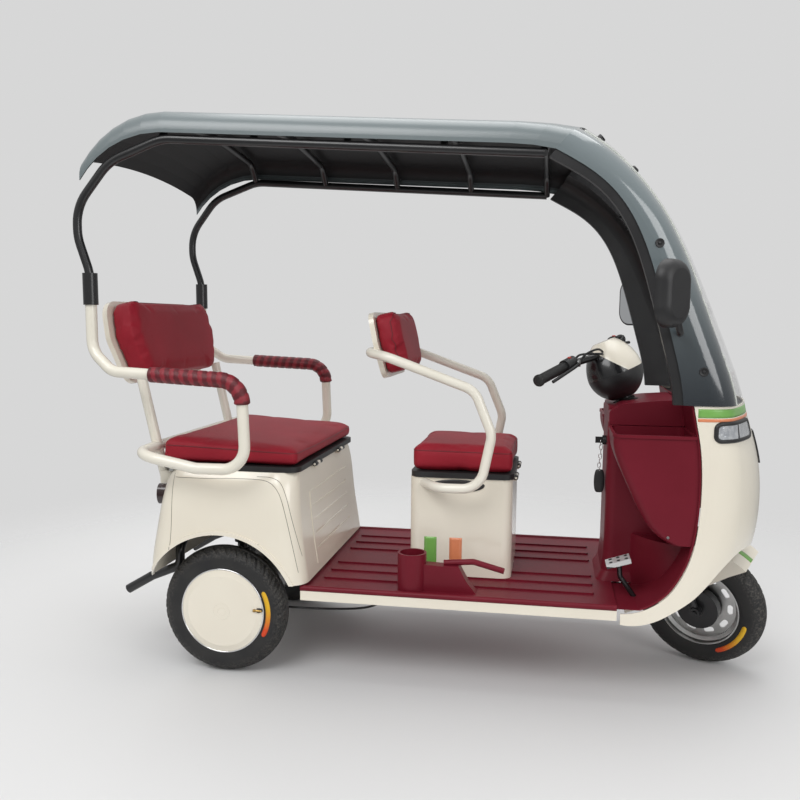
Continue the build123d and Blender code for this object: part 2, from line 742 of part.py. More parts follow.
tail_lamp_y = 338.0
tail_lamp_z = 560.0
tail_lamp_x = -216.0
tail_lamp_size = (24.0, 33.0)
tail_lamp_deep = 60.0
with BuildPart() as tail_lamps:
    for side in (-1, 1):
        plane = Plane(origin=(tail_lamp_x, side * tail_lamp_y, tail_lamp_z), x_dir=(0, 1, 0),
                      z_dir=(1, 0, 0))
        with BuildSketch(plane) as lens:
            Ellipse(*tail_lamp_size)
        extrude(lens.sketch, amount=tail_lamp_deep)
    body_loft(0.0, Mode.SUBTRACT)
store(tail_lamps, "tail_lamps")

with BuildPart() as driver_box:
    block(*box_x, -box_half, box_half, floor_z, box_top, box_corner)
    block(box_x[0] + box_wall, box_x[1] - box_wall, -box_half + box_wall, box_half - box_wall,
          floor_z - overrun, box_top - box_wall, box_corner - box_wall, mode=Mode.SUBTRACT)
    for k in range(rib_count):
        y = (k - (rib_count - 1) / 2) * rib_step
        block(box_x[0] - overrun, box_x[1] + overrun, y - rib_wide, y + rib_wide,
              floor_z - overrun, floor_z + rib_rise, mode=Mode.SUBTRACT)
    fixed_knuckles(box_hinge, box_hinge_y, box_x[1] - box_wall / 2)
store(driver_box, "driver_box")

# Seat cushions: dark base pan and upholstered block on hinged lids
lid_gap = 0.05
pan_inset = 6.0
seat_edge = 12.0
driver_pad_x = (box_x[0] - 4.0, box_x[1] + 10.0)
driver_pad_half = 200.0
driver_pan_z = (box_top + lid_gap, 636.0)
driver_pad_top = (720.0, 716.0)
driver_pad_corner = 26.0
bench_x = (-214.0, 250.0)
bench_half = 362.0
bench_pan_z = (body_top + lid_gap, 662.0)
bench_pad_top = (742.0, 712.0)
bench_pad_slope = 6.0
bench_pan_corner = 40.0
bench_pad_corner = 18.0

with BuildPart() as driver_pan:
    block(driver_pad_x[0] + pan_inset, driver_pad_x[1] - pan_inset,
          -driver_pad_half + pan_inset, driver_pad_half - pan_inset, *driver_pan_z, box_corner)
    lid_knuckles(box_hinge, box_hinge_y)
store(driver_pan, "driver_seat_pan")

with BuildPart() as driver_pad:
    slab(polygon([(driver_pad_x[0], driver_pan_z[1]), (driver_pad_x[1], driver_pan_z[1]),
                  (driver_pad_x[1], driver_pad_top[1]), (driver_pad_x[0], driver_pad_top[0])]),
         driver_pad_half, bend=seat_edge)
    fillet(driver_pad.edges().filter_by(Plane.XZ), driver_pad_corner)
store(driver_pad, "driver_cushion")

with BuildPart() as bench_pan:
    block(bench_x[0] + pan_inset + body_wall / 2, bench_x[1] - pan_inset,
          -bench_half + pan_inset, bench_half - pan_inset, *bench_pan_z, bench_pan_corner)
    lid_knuckles(bench_hinge, bench_hinge_y)
store(bench_pan, "bench_pan")

with BuildPart() as bench_pad:
    slab(polygon([(bench_x[0], bench_pan_z[1]), (bench_x[1], bench_pan_z[1]),
                  (bench_x[1], bench_pad_top[1]),
                  (bench_x[0] + bench_pad_slope, bench_pad_top[0])]), bench_half, bend=seat_edge)
    fillet(bench_pad.edges().filter_by(Plane.XZ), bench_pad_corner)
store(bench_pad, "bench_cushion")

# Backrests: cream shell behind an upholstered pad
shell_thick = 16.0
shell_show = 4.0
shoulder_share = 0.55
crown_share = 0.93
driver_back = dict(low=(floor_front - 734.0, 925.0), tilt=13.0, halves=(172.0, 196.0),
                   tall=212.0, corner=44.0)
driver_back_thick = 82.0
bench_back = dict(low=(-352.0, 898.0), tilt=13.0, halves=(285.0, 335.0), tall=268.0, corner=66.0)
bench_back_thick = 88.0


def backrest(back, near, far, inset=0.0, mode=Mode.ADD):
    """An upright rounded back panel between two depths measured from its rear face."""
    lean_back = radians(back["tilt"])
    out = (cos(lean_back), 0, sin(lean_back))
    plane = Plane(origin=(back["low"][0] + near * out[0], 0, back["low"][1] + near * out[2]),
                  x_dir=(0, 1, 0), z_dir=out)
    low, wide = (half - inset for half in back["halves"])
    tall = back["tall"]
    with BuildSketch(plane) as face:
        with BuildLine():
            FilletPolyline((-low, 0), (low, 0), (wide, tall * shoulder_share),
                           (wide * crown_share, tall), (-wide * crown_share, tall),
                           (-wide, tall * shoulder_share), radius=back["corner"], close=True)
        make_face()
    extrude(face.sketch, amount=far - near, mode=mode)


for label, back, thick in (("driver_back", driver_back, driver_back_thick),
                           ("bench_back", bench_back, bench_back_thick)):
    with BuildPart() as back_shell:
        backrest(back, 0.0, shell_thick)
    store(back_shell, label + "_shell")
    with BuildPart() as back_pad:
        backrest(back, shell_thick, thick, inset=shell_show)
    store(back_pad, label + "_pad")

# Driver's seat frame: one tube from box side to box side behind the backrest.
# Its run as shares of its length, half width and height, from its lowest rear corner
arm_r = 15.0
arm_bend = 70.0
driver_arm_y = 272.0
driver_arm_rear = floor_front - 768.0
driver_arm_z = 600.0
driver_arm_size = (392.0, driver_arm_y, 410.0)
driver_arm_shares = [(0.0, 0.0, 1.0), (0.0, 0.794, 1.0), (0.173, 0.996, 0.976),
                     (0.862, 1.0, 0.739), (1.0, 1.0, 0.415), (0.913, 0.993, 0.005),
                     (0.582, 0.978, 0.0), (0.429, 0.643, 0.0)]
with BuildPart() as driver_seat_frame:
    for side in (-1, 1):
        rod([(driver_arm_rear + driver_arm_size[0] * a, side * driver_arm_size[1] * b,
              driver_arm_z + driver_arm_size[2] * c) for a, b, c in driver_arm_shares],
            arm_bend, arm_r)
    block(*box_x, -box_half, box_half, floor_z, box_top, box_corner, mode=Mode.SUBTRACT)
    backrest(driver_back, 0.0, shell_thick, mode=Mode.SUBTRACT)
store(driver_seat_frame, "driver_seat_frame")

# Bench frame: one loop of tube each side, from the roof post down and round to a cross tube
post_y = 410.0
arm_y = 460.0
bench_tube_r = 17.0
loop_bend = 70.0
loop_low = 668.0
sleeve_low = 1149.0
sleeve_high = 1244.0
sleeve_r = 22.0
bench_post_y = 300.0
post_foot = 20.0
post_foot_z = (590.0, 630.0)
post_foot_x = (-222.0, -184.0)
post_lean = ((-214.0, 610.0), (-238.0, 706.0), (-290.0, 940.0))
# The loop as shares of its length, half width and height, from under the roof post
loop_size = (503.0, arm_y, sleeve_low - loop_low)
loop_shares = [(0.0, 0.891, 1.0), (0.0, 0.891, 0.711), (0.153, 0.952, 0.586),
               (0.98, 1.0, 0.545), (1.0, 1.0, 0.002), (0.69, 1.0, 0.0), (0.3, 0.983, 0.075),
               (0.296, 0.652, 0.079)]
loop = [(post_x + loop_size[0] * a, loop_size[1] * b, loop_low + loop_size[2] * c)
        for a, b, c in loop_shares]
with BuildPart() as bench_frame:
    for side in (-1, 1):
        rod([(x, side * y, z) for x, y, z in loop], loop_bend, bench_tube_r)
        rod([(x, side * bench_post_y, z) for x, z in post_lean], 2 * post_foot,
            bench_tube_r - overrun)
        block(*post_foot_x, side * bench_post_y - post_foot, side * bench_post_y + post_foot,
              *post_foot_z)
    rod([(post_lean[1][0], -bench_post_y, post_lean[1][1]),
         (post_lean[1][0], bench_post_y, post_lean[1][1])], 0, bench_tube_r)
    body_loft(0.0, Mode.SUBTRACT)
    backrest(bench_back, 0.0, shell_thick, mode=Mode.SUBTRACT)
    backrest(bench_back, shell_thick, bench_back_thick + bench_post_y, inset=shell_show,
             mode=Mode.SUBTRACT)
store(bench_frame, "bench_frame")

# Armrest wraps around the front part of each loop
wrap_r = 23.0
wrap_share = 0.3
wrap_end = 862.0
wrap_drop = (loop[3][2] - wrap_end) / (loop[3][2] - loop[4][2])
with BuildPart() as armrest_wraps:
    for side in (-1, 1):
        start = [a + (b - a) * wrap_share for a, b in zip(loop[2], loop[3])]
        end = [a + (b - a) * wrap_drop for a, b in zip(loop[3], loop[4])]
        rod([(x, side * y, z) for x, y, z in (start, loop[3], end)], loop_bend, wrap_r,
            bench_tube_r)
store(armrest_wraps, "armrest_wraps")

# Canopy: stations from the rear edge over the roof, then down to the scuttle
roof_half = 420.0
roof_corner = 60.0
roof_deep = 104.0
roof_wall = 4.0
roof_top = 1751.0
roof_back = -404.0
tail_long = 255.0
tail_drop = 145.0
# Tail stations as shares: along the tail, drop of the crown, depth, corner radius
tail_shares = [(0.0, 1.0, 0.865, 0.93), (0.098, 0.766, 0.885, 0.95), (0.223, 0.538, 0.904, 0.97),
               (0.38, 0.331, 0.923, 0.98), (0.565, 0.159, 0.952, 1.0), (0.776, 0.041, 0.981, 1.0),
               (1.0, 0.0, 1.0, 1.0)]
tail_side_share = 0.096
screen_back = wheelbase - 600.0
screen_size = (677.0, 822.0)
# Front stations as shares: edge and crown points, half width, corner radius, straight side
front_shares = [(-0.059, 0.863, 0.0, 1.0, 1.0, 1.0, 0.115),
                (0.044, 0.855, 0.148, 0.991, 1.0, 1.05, 0.135),
                (0.133, 0.841, 0.273, 0.976, 1.0, 1.1, 0.154),
                (0.325, 0.741, 0.502, 0.815, 0.986, 1.233, 0.096),
                (0.48, 0.568, 0.703, 0.577, 0.957, 1.3, 0.21),
                (0.573, 0.349, 0.833, 0.349, 0.933, 1.333, 0.385),
                (0.64, 0.155, 0.934, 0.151, 0.919, 1.333, 0.577),
                (0.675, 0.0024, 1.0, 0.0, 0.905, 1.333, 0.731)]


def front_points(shares):
    """Side-view points given as shares of the screen's frame over the cowl."""
    return outline((screen_back, cowl_top), screen_size, shares)


tail_stations = []
for along_tail, drop, deep, corner in tail_shares:
    crown_x = roof_back + tail_long * along_tail
    crown_z = roof_top - tail_drop * drop
    tail_stations.append(((crown_x, crown_z - roof_deep * deep), (crown_x, crown_z), roof_half,
                          roof_corner * corner, roof_deep * tail_side_share))
front_stations = []
for edge_x, edge_z, crown_x, crown_z, half, corner, side in front_shares:
    edge, crown = front_points([(edge_x, edge_z), (crown_x, crown_z)])
    front_stations.append((edge, crown, roof_half * half, roof_corner * corner,
                           roof_deep * side))
roof_stations = tail_stations + front_stations[:3]
screen_stations = front_stations[2:]
screen_half = 332.0
screen_clear = 2 * roof_deep


def canopy_loft(stations, inset, mode, drop=0.0):
    """Lofts a stretch of the canopy's skin through its stations."""
    rows = [bow_section(edge, crown, half, corner, side, inset, drop=drop or 2 * inset)
            for edge, crown, half, corner, side in stations]
    loft(rows, ruled=stations is roof_stations, mode=mode)


def screen_box(half, mode):
    """Keeps or clears the middle of the canopy's front."""
    block(screen_back - screen_clear, screen_back + screen_size[0] + screen_clear, -half, half,
          cowl_top - screen_clear, roof_top + screen_clear, mode=mode)


with BuildPart() as roof_shell:
    canopy_loft(roof_stations, 0.0, Mode.ADD)
    canopy_loft(roof_stations, roof_wall, Mode.SUBTRACT)
store(roof_shell, "roof_shell")

with BuildPart() as pillar_panels:
    canopy_loft(screen_stations, 0.0, Mode.ADD)
    canopy_loft(screen_stations, roof_wall, Mode.SUBTRACT)
    screen_box(screen_half, Mode.SUBTRACT)
store(pillar_panels, "pillar_panels")

with BuildPart() as windscreen:
    canopy_loft(screen_stations, 0.0, Mode.ADD)
    canopy_loft(screen_stations, roof_wall, Mode.SUBTRACT)
    screen_box(screen_half, Mode.INTERSECT)
store(windscreen, "windscreen")

# Pillar liners: closed mouldings inside the pillar panels, slotted on their inner faces
liner_thick = 26.0
liner_lap = 14.0
liner_slot = 9.0
liner_slot_deep = 5.0
liner_slots = 14
liner_slot_shares = (0.08, 0.72)
with BuildPart() as pillar_liners:
    canopy_loft(screen_stations, roof_wall, Mode.ADD, drop=liner_thick)
    canopy_loft(screen_stations, roof_wall + liner_thick, Mode.SUBTRACT,
                drop=liner_thick + overrun)
    screen_box(screen_half - liner_lap, Mode.SUBTRACT)
    block(screen_back, wheelbase + screen_clear, -cowl_half, cowl_half,
          cowl_top - screen_clear, scuttle_z[1], mode=Mode.SUBTRACT)
    slot_span = liner_slot_shares[1] - liner_slot_shares[0]
    for k in range(liner_slots):
        z = cowl_top + screen_size[1] * (liner_slot_shares[0]
                                         + slot_span * k / (liner_slots - 1))
        block(screen_back, wheelbase + screen_clear, -screen_half - liner_slot_deep,
              screen_half + liner_slot_deep, z, z + liner_slot, mode=Mode.SUBTRACT)
    add(windscreen.part, mode=Mode.SUBTRACT)
store(pillar_liners, "pillar_liners")

# Canopy frame: black tubes from the sleeves along the roof's edges to the pillar liners
tube_bend = 150.0
tail_tube_size = (237.0, 388.0)
tail_tube_shares = [(-0.148, 0.273), (-0.148, 0.505), (0.291, 0.84), (1.0, 1.0)]
front_tube_share = (0.0886, 0.832)
roof_y = roof_half - roof_wall - canopy_tube_r
bar_count = 5
bar_step = 62.0
bar_rise = 88.0
with BuildPart() as canopy_frame:
    tail_run = outline((post_x, sleeve_high), tail_tube_size, tail_tube_shares)
    front_run = front_points([front_tube_share])
    for side in (-1, 1):
        rod([(post_x, side * post_y, sleeve_low), (post_x, side * post_y, sleeve_high)]
            + [(x, side * post_y, z) for x, z in tail_run[:2]]
            + [(x, side * roof_y, z) for x, z in tail_run[2:] + front_run],
            tube_bend, canopy_tube_r)
        rod([(post_x, side * post_y, sleeve_low), (post_x, side * post_y, sleeve_high)],
            0, sleeve_r)
    (x0, z0), (x1, z1) = tail_run[-1], front_run[0]
    for k in range(bar_count):
        x = x0 + (x1 - x0) * k / (bar_count - 1)
        z = z0 + (z1 - z0) * k / (bar_count - 1)
        rod([(x, -roof_y, z), (x, -roof_y + bar_step, z + bar_step), (x, 0.0, z + bar_rise),
             (x, roof_y - bar_step, z + bar_step), (x, roof_y, z)], bar_step,
            canopy_tube_r - bar_step / 30)
    canopy_loft(screen_stations, roof_wall, Mode.SUBTRACT, drop=liner_thick)
store(canopy_frame, "canopy_frame")

# Mirrors: domed housings on bent arms from the pillars
mirror_size = (176.0, 128.0)
mirror_at = (wheelbase - 212.0, 520.0, 1186.0)
mirror_toe = 42.0
mirror_corner = 52.0
mirror_rows = ((0.0, 0.0), (14.0, 6.0), (26.0, 22.0), (34.0, 50.0))
mirror_glass = 2.0
mirror_rim = 6.0
mirror_arm_r = 9.0
mirror_arm_bend = 20.0
# The arm from behind the housing to the pillar: ahead, inward and down from the glass
mirror_arm = ((20.0, -4.0, 60.0), (34.0, 20.0, 100.0), (52.0, 148.0, 104.0))


def mirror_plane(side):
    """The plane of one mirror's glass, seen from the driver."""
    facing = (-cos(radians(mirror_toe)), -side * sin(radians(mirror_toe)), 0)
    return Plane(origin=(mirror_at[0], side * mirror_at[1], mirror_at[2]), x_dir=(0, 0, 1),
                 z_dir=facing)


with BuildPart() as mirror_housings:
    for side in (-1, 1):
        faces = []
        for back, inset in mirror_rows:
            with BuildSketch(mirror_plane(side).offset(-back)) as row:
                RectangleRounded(mirror_size[0] - inset, mirror_size[1] - inset,
                                 mirror_corner - inset / 3)
            faces.append(row.sketch.face())
        loft(faces)
        rod([(mirror_at[0] + ahead, side * (mirror_at[1] - inward), mirror_at[2] - down)
             for ahead, inward, down in mirror_arm], mirror_arm_bend, mirror_arm_r)
    canopy_loft(screen_stations, 0.0, Mode.SUBTRACT)
store(mirror_housings, "mirror_housings")
with BuildPart() as mirror_glasses:
    for side in (-1, 1):
        with BuildSketch(mirror_plane(side)) as face:
            RectangleRounded(mirror_size[0] - 2 * mirror_rim, mirror_size[1] - 2 * mirror_rim,
                             mirror_corner - mirror_rim)
        extrude(face.sketch, amount=mirror_glass)
store(mirror_glasses, "mirror_glasses")

# Wiper on the windscreen's upper edge
wiper_hub_r = 13.0
wiper_arm_r = 4.0
wiper_tip_y = 14.0
wiper_hub_shares = [(0.313, 0.956), (0.343, 0.978)]
wiper_arm_shares = [(0.331, 0.97), (0.591, 0.752)]
with BuildPart() as wiper:
    (x0, z0), (x1, z1) = front_points(wiper_hub_shares)
    rod([(x0, 0.0, z0), (x1, 0.0, z1)], 0, wiper_hub_r)
    (x0, z0), (x1, z1) = front_points(wiper_arm_shares)
    rod([(x0, 0.0, z0), (x1, wiper_tip_y, z1)], 0, wiper_arm_r)
    canopy_loft(screen_stations, 0.0, Mode.SUBTRACT)
store(wiper, "wiper")

# Parking brake housing with a cup holder, and its lever
cup_at = (box_x[0] + 32.0, -321.5)
cup_r = 44.0
cup_bore = 37.0
cup_top = 410.0
cup_floor = 306.0
brake_y = cup_at[1]
brake_half = 20.0
brake_size = (190.0, 84.0)
brake_shares = [(0.0, 0.0), (0.0, 1.0), (0.4, 0.952), (0.716, 0.976), (0.853, 0.405), (1.0, 0.0)]
brake_corner = (cup_at[0] + 8.0, floor_z)
lever_r = 9.0
lever_bend = 40.0
lever_shares = [(0.474, 1.024), (0.947, 1.119), (1.432, 0.833)]
brake_outline = polygon(outline(brake_corner, brake_size, brake_shares))
with BuildPart() as parking_brake:
    rod([(*cup_at, floor_z), (*cup_at, cup_top)], 0, cup_r)
    slab(brake_outline, brake_half, y=brake_y)
    rod([(*cup_at, cup_floor), (*cup_at, cup_top + overrun)], 0, cup_bore, mode=Mode.SUBTRACT)
store(parking_brake, "parking_brake")
with BuildPart() as brake_lever:
    rod([(x, brake_y, z) for x, z in outline(brake_corner, brake_size, lever_shares)],
        lever_bend, lever_r)
    slab(brake_outline, brake_half, mode=Mode.SUBTRACT, y=brake_y)
store(brake_lever, "parking_brake_lever")

# Foot brake: pad on a bent arm that comes out of the toe panel
pedal_y = -250.0
pedal_half = 30.0
pedal_corner = (floor_front - 28.0, 378.0)
pedal_size = (74.0, 36.0)
pedal_shares = [(0.0, 0.333), (0.054, 0.0), (1.0, 0.611), (0.946, 1.0)]
pedal_arm_r = 8.0
pedal_bend = 20.0
pedal_arm_shares = [(0.54, 0.389), (0.595, -0.778), (1.216, -2.556)]
pedal_stud_r = 4.0
pedal_studs = (3, 2)
pedal_stud_step = 19.0
with BuildPart() as brake_pedal:
    slab(polygon(outline(pedal_corner, pedal_size, pedal_shares)), pedal_half, y=pedal_y)
    rod([(x, pedal_y, z) for x, z in outline(pedal_corner, pedal_size, pedal_arm_shares)],
        pedal_bend, pedal_arm_r)
    slab([[(shield_rear, floor_z)], [(floor_front, floor_z)],
          [(x - seat_gap, z + seat_gap) for x, z in inner_panel], [(shield_rear, cowl_top)]],
         cowl_half, mode=Mode.INTERSECT)
store(brake_pedal, "brake_pedal")

# Ignition lock and the key's bow on the spine's rear face
lock_at = (spine_rear, -52.0, 736.0)
lock_r = 15.0
lock_long = 12.0
key_long = 22.0
key_half = 10.0
key_thick = 3.0
with BuildPart() as ignition_lock:
    rod([lock_at, (lock_at[0] - lock_long, *lock_at[1:])], 0, lock_r)
    block(lock_at[0] - lock_long - key_long, lock_at[0] - lock_long,
          lock_at[1] - key_thick / 2, lock_at[1] + key_thick / 2,
          lock_at[2] - key_half, lock_at[2] + key_half)
store(ignition_lock, "ignition_lock")

# Brake cable under the floor on the right, from its bracket to the right brake plate
cable_r = 3.5
cable_bend = 120.0
cable_run = [(bracket_x, bracket_y, 236.0), (460.0, -300.0, 216.0), (330.0, -292.0, 201.0),
             (196.0, -287.0, 197.0), (plate_r + seat_gap, -286.0, 199.0)]
with BuildPart() as brake_cable:
    rod(cable_run, cable_bend, cable_r)
store(brake_cable, "brake_cable")

# Steering pieces are drawn straight ahead and turned when they are stored
stem_top = 1000.0
yoke_low = 236.0
yoke_high = 262.0
yoke_lap = 6.0
yoke_corner = 16.0
leg_y = 61.0
leg_r = 12.0
leg_lap = 2.0
fender_r = 236.0
fender_half = 80.0
fender_wall = 3.0
fender_bead_r = 4.0
fender_size = (480.0, 384.0)
fender_corner = (wheelbase - 300.0, 96.0)
fender_shares = [(0.0, 0.0), (0.415, 0.318), (0.59, 0.448), (0.833, 0.667), (1.0, 0.792),
                 (1.0, 1.0), (0.0, 1.0)]


def along(distance, y=0.0):
    """The point at a distance from the front hub up the steering axis."""
    return (wheelbase + steer_up[0] * distance, y, front_hub_z + steer_up[2] * distance)


def yoke_block(mode):
    """The yoke that joins the fork's legs over the wheel."""
    plane = Plane(origin=along(yoke_low), x_dir=(0, 1, 0), z_dir=steer_up)
    with BuildSketch(plane) as yoke:
        RectangleRounded(2 * (leg_y + leg_r), 2 * (stem_r + yoke_lap), yoke_corner)
    extrude(yoke.sketch, amount=yoke_high - yoke_low, mode=mode)


def across_hub(half, radius, mode=Mode.ADD):
    """A round bar along the front axle."""
    rod([(wheelbase, -half, front_hub_z), (wheelbase, half, front_hub_z)], 0, radius, mode=mode)


with BuildPart() as fork:
    rod([along(yoke_low + leg_lap), on_axis(stem_top)], 0, stem_r)
    for side in (-1, 1):
        rod([along(0, side * leg_y), along(yoke_high - leg_r, side * leg_y)], 0, leg_r)
        rod([(wheelbase, side * (leg_y - leg_r), front_hub_z),
             (wheelbase, side * (leg_y + leg_r + yoke_lap), front_hub_z)], 0, leg_r + yoke_lap)
    yoke_block(Mode.ADD)
    across_hub(leg_y + 2 * leg_r, pin_r)
    # Drum brake plate on the right, held by the fork leg
    rod([(wheelbase, -drum_in, front_hub_z),
         (wheelbase, -leg_y + leg_r + overrun, front_hub_z)], 0, drum_r)
store(fork, "fork", steered=True)

with BuildPart() as front_fender:
    across_hub(fender_half, fender_r)
    across_hub(fender_half - fender_wall, fender_r - fender_wall, mode=Mode.SUBTRACT)
    # Keep what lies above the slanted lower edge
    slab(polygon(outline(fender_corner, fender_size, fender_shares)), 2 * fender_half,
         mode=Mode.INTERSECT)
    for side in (-1, 1):
        rod([along(0, side * leg_y), along(yoke_high, side * leg_y)], 0, leg_r,
            mode=Mode.SUBTRACT)
    yoke_block(Mode.SUBTRACT)
store(front_fender, "front_fender", steered=True)

# Handlebar, as shares of its sweep back, half span and rise from the stem's top
bar_r = 11.0
bar_bend = 50.0
bar_size = (-89.0, 330.0, 28.0)
bar_shares = [(0.0, 0.0, 0.0), (0.135, 0.242, 0.571), (0.652, 0.576, 0.286), (1.0, 1.0, -0.429)]
bar_root = on_axis(stem_top)
bar_run = [(bar_root[0] + bar_size[0] * a, bar_size[1] * b, stem_top + bar_size[2] * c)
           for a, b, c in bar_shares]
clamp_r = 15.0
clamp_rise = 12.0
grip_r = 16.0
grip_share = 0.12
switch_share = 0.2
switch_r = 21.0
brake_lever_r = 5.0
lever_root = (-28.0, 172.0, 12.0)
lever_knee = (-32.0, 200.0, 4.0)
lever_tip = (-50.0, 312.0, -16.0)


def bar_half(side, radius, mode=Mode.ADD):
    """One half of the bent handlebar."""
    rod([(x, side * y, z) for x, y, z in bar_run], bar_bend, radius, mode=mode)


def on_grip(share, side):
    """A point on the handlebar's last straight stretch."""
    inner, outer = (Vector(*point) for point in bar_run[2:])
    spot = inner + (outer - inner) * share
    return (spot.X, side * spot.Y, spot.Z)


with BuildPart() as handlebar:
    for side in (-1, 1):
        bar_half(side, bar_r)
    rod([on_axis(stem_top - overrun), on_axis(stem_top + clamp_rise)], 0, clamp_r)
    rod([on_axis(stem_top - 2 * neck_r), on_axis(stem_top)], 0, stem_r, mode=Mode.SUBTRACT)
store(handlebar, "handlebar", steered=True)

with BuildPart() as grips:
    for side in (-1, 1):
        rod([on_grip(grip_share, side), on_grip(1 + grip_share / 3, side)], 0, grip_r)
        rod([on_grip(grip_share, side), on_grip(1, side)], 0, bar_r, mode=Mode.SUBTRACT)
store(grips, "grips", steered=True)

# Handlebar cowl: rows as height, depth and width of an oval about the steering axis
bowl_rows = ((872.0, 36.0, 36.0), (895.0, 66.0, 74.0), (925.0, 82.0, 98.0), (950.0, 86.0, 104.0))
cover_rows = (bowl_rows[-1], (985.0, 80.0, 96.0), (1020.0, 62.0, 76.0), (1048.0, 34.0, 44.0))
cover_wall = 3.0


def oval_loft(rows, inset, mode):
    """Lofts ovals square to the steering axis."""
    faces = []
    for height, deep, wide in rows:
        plane = Plane(origin=on_axis(height - inset), x_dir=(0, 1, 0), z_dir=steer_up)
        with BuildSketch(plane) as ring:
            Ellipse(wide - inset, deep - inset)
        faces.append(ring.sketch.face())
    loft(faces, mode=mode)


with BuildPart() as bar_bowl:
    oval_loft(bowl_rows, 0.0, Mode.ADD)
    rod([on_axis(cowl_top - neck_r), on_axis(stem_top)], 0, stem_r, mode=Mode.SUBTRACT)
store(bar_bowl, "bar_bowl", steered=True)

with BuildPart() as bar_cover:
    oval_loft(cover_rows, 0.0, Mode.ADD)
    oval_loft(cover_rows, cover_wall, Mode.SUBTRACT)
    for side in (-1, 1):
        bar_half(side, bar_r + overrun, Mode.SUBTRACT)
store(bar_cover, "bar_cover", steered=True)

# Ribbed boot where the stem enters the dash, as (radius, height) of each rib
boot_base = 845.0
boot_ribs = ((38.0, 0.0), (38.0, 5.0), (33.0, 8.0), (36.0, 12.0), (31.0, 16.0), (34.0, 20.0),
             (29.0, 24.0))
with BuildPart() as boot:
    plane = Plane(origin=on_axis(boot_base), x_dir=(0, 1, 0),
                  z_dir=(cos(radians(rake)), 0, sin(radians(rake))))
    with BuildSketch(plane) as face:
        with BuildLine():
            Polyline((stem_r, 0), *boot_ribs, (stem_r, boot_ribs[-1][1]), close=True)
        make_face()
    revolve(face.sketch, axis=steer_axis)
store(boot, "steering_boot", steered=True)

with BuildPart() as hand_controls:
    for side in (-1, 1):
        rod([on_grip(-switch_share, side), on_grip(grip_share, side)], 0, switch_r)
        rod([(bar_root[0] + ahead, side * out, stem_top + up)
             for ahead, out, up in (lever_root, lever_knee, lever_tip)],
            2 * brake_lever_r, brake_lever_r)
        bar_half(side, bar_r, Mode.SUBTRACT)
store(hand_controls, "hand_controls", steered=True)
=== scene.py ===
# %% [markdown]
# A roofed electric tricycle: three small wheels, a cream body, dark red seats and a dark canopy.
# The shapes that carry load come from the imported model. This script gives every surface its
# finish and builds the soft and detailed pieces around that model.

# %% Load the model
import json
import math

import bmesh
import bpy
from mathutils import Matrix, Vector
from mathutils.bvhtree import BVHTree


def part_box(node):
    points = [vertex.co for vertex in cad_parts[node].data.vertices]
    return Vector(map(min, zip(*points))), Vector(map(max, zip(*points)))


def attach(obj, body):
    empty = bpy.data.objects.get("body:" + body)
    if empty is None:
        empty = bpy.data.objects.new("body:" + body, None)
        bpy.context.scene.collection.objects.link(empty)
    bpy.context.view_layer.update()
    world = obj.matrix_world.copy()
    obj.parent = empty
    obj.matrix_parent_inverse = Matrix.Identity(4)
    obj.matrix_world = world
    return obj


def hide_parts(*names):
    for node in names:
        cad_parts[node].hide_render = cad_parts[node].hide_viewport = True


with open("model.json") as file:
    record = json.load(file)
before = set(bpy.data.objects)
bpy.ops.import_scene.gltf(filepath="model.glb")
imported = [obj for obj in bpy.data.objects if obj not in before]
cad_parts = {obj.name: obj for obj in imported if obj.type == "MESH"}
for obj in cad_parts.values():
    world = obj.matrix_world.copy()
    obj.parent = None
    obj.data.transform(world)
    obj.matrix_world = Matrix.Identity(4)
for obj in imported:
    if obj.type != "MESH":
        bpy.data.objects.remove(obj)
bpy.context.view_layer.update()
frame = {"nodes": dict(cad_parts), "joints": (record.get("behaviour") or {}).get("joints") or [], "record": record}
nodes = frame["nodes"]
print("pieces in the model:", len(nodes))

# %% [markdown]
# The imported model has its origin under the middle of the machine. The pieces below are easier
# to place from the rear axle, so one shift turns rear-axle millimetres into scene metres.

# %% Shared measures
mid_x = -sum(corner[0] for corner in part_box("left_tyre")) / 2
steer_rest = math.radians(27)
steering = next(j for j in frame["joints"] if j["name"] == "steering_turn")
hub = Vector(steering["pos_m"])
steer_up = Vector(steering["axis"]).normalized()
both_sides = ((-1, "right"), (1, "left"))
ray_out = 700


def at(x, y, z):
    """A point given in millimetres from the rear axle, the middle and the ground."""
    return Vector((x / 1000 - mid_x, y / 1000, z / 1000))


def steered(point):
    """Turns a straight-ahead point to the stored steering angle."""
    turn = Matrix.Rotation(-steer_rest, 3, steer_up)
    return hub + turn @ (point - hub)


print("origin shift", round(mid_x, 4), "front hub", tuple(round(c, 4) for c in hub))

# %% [markdown]
# The camera comes first. It was worked out from matching left and right points of the machine,
# so its place is a real one: under three metres away, a little above the seats.

# %% Camera
camera_at = Vector((0.9948 - mid_x, -2.7734, 1.1149))
yaw, pitch, roll = -0.1669, 0.1201, 0.0088
lens_px = 837.07
frame_px = 800
centre_px = (410, 420)
sensor = 36.0

forward = Vector((math.sin(yaw) * math.cos(pitch), math.cos(yaw) * math.cos(pitch),
                  -math.sin(pitch)))
level_right = Vector((math.cos(yaw), -math.sin(yaw), 0))
level_up = level_right.cross(forward)
right = level_right * math.cos(roll) + level_up * math.sin(roll)
up = level_up * math.cos(roll) - level_right * math.sin(roll)

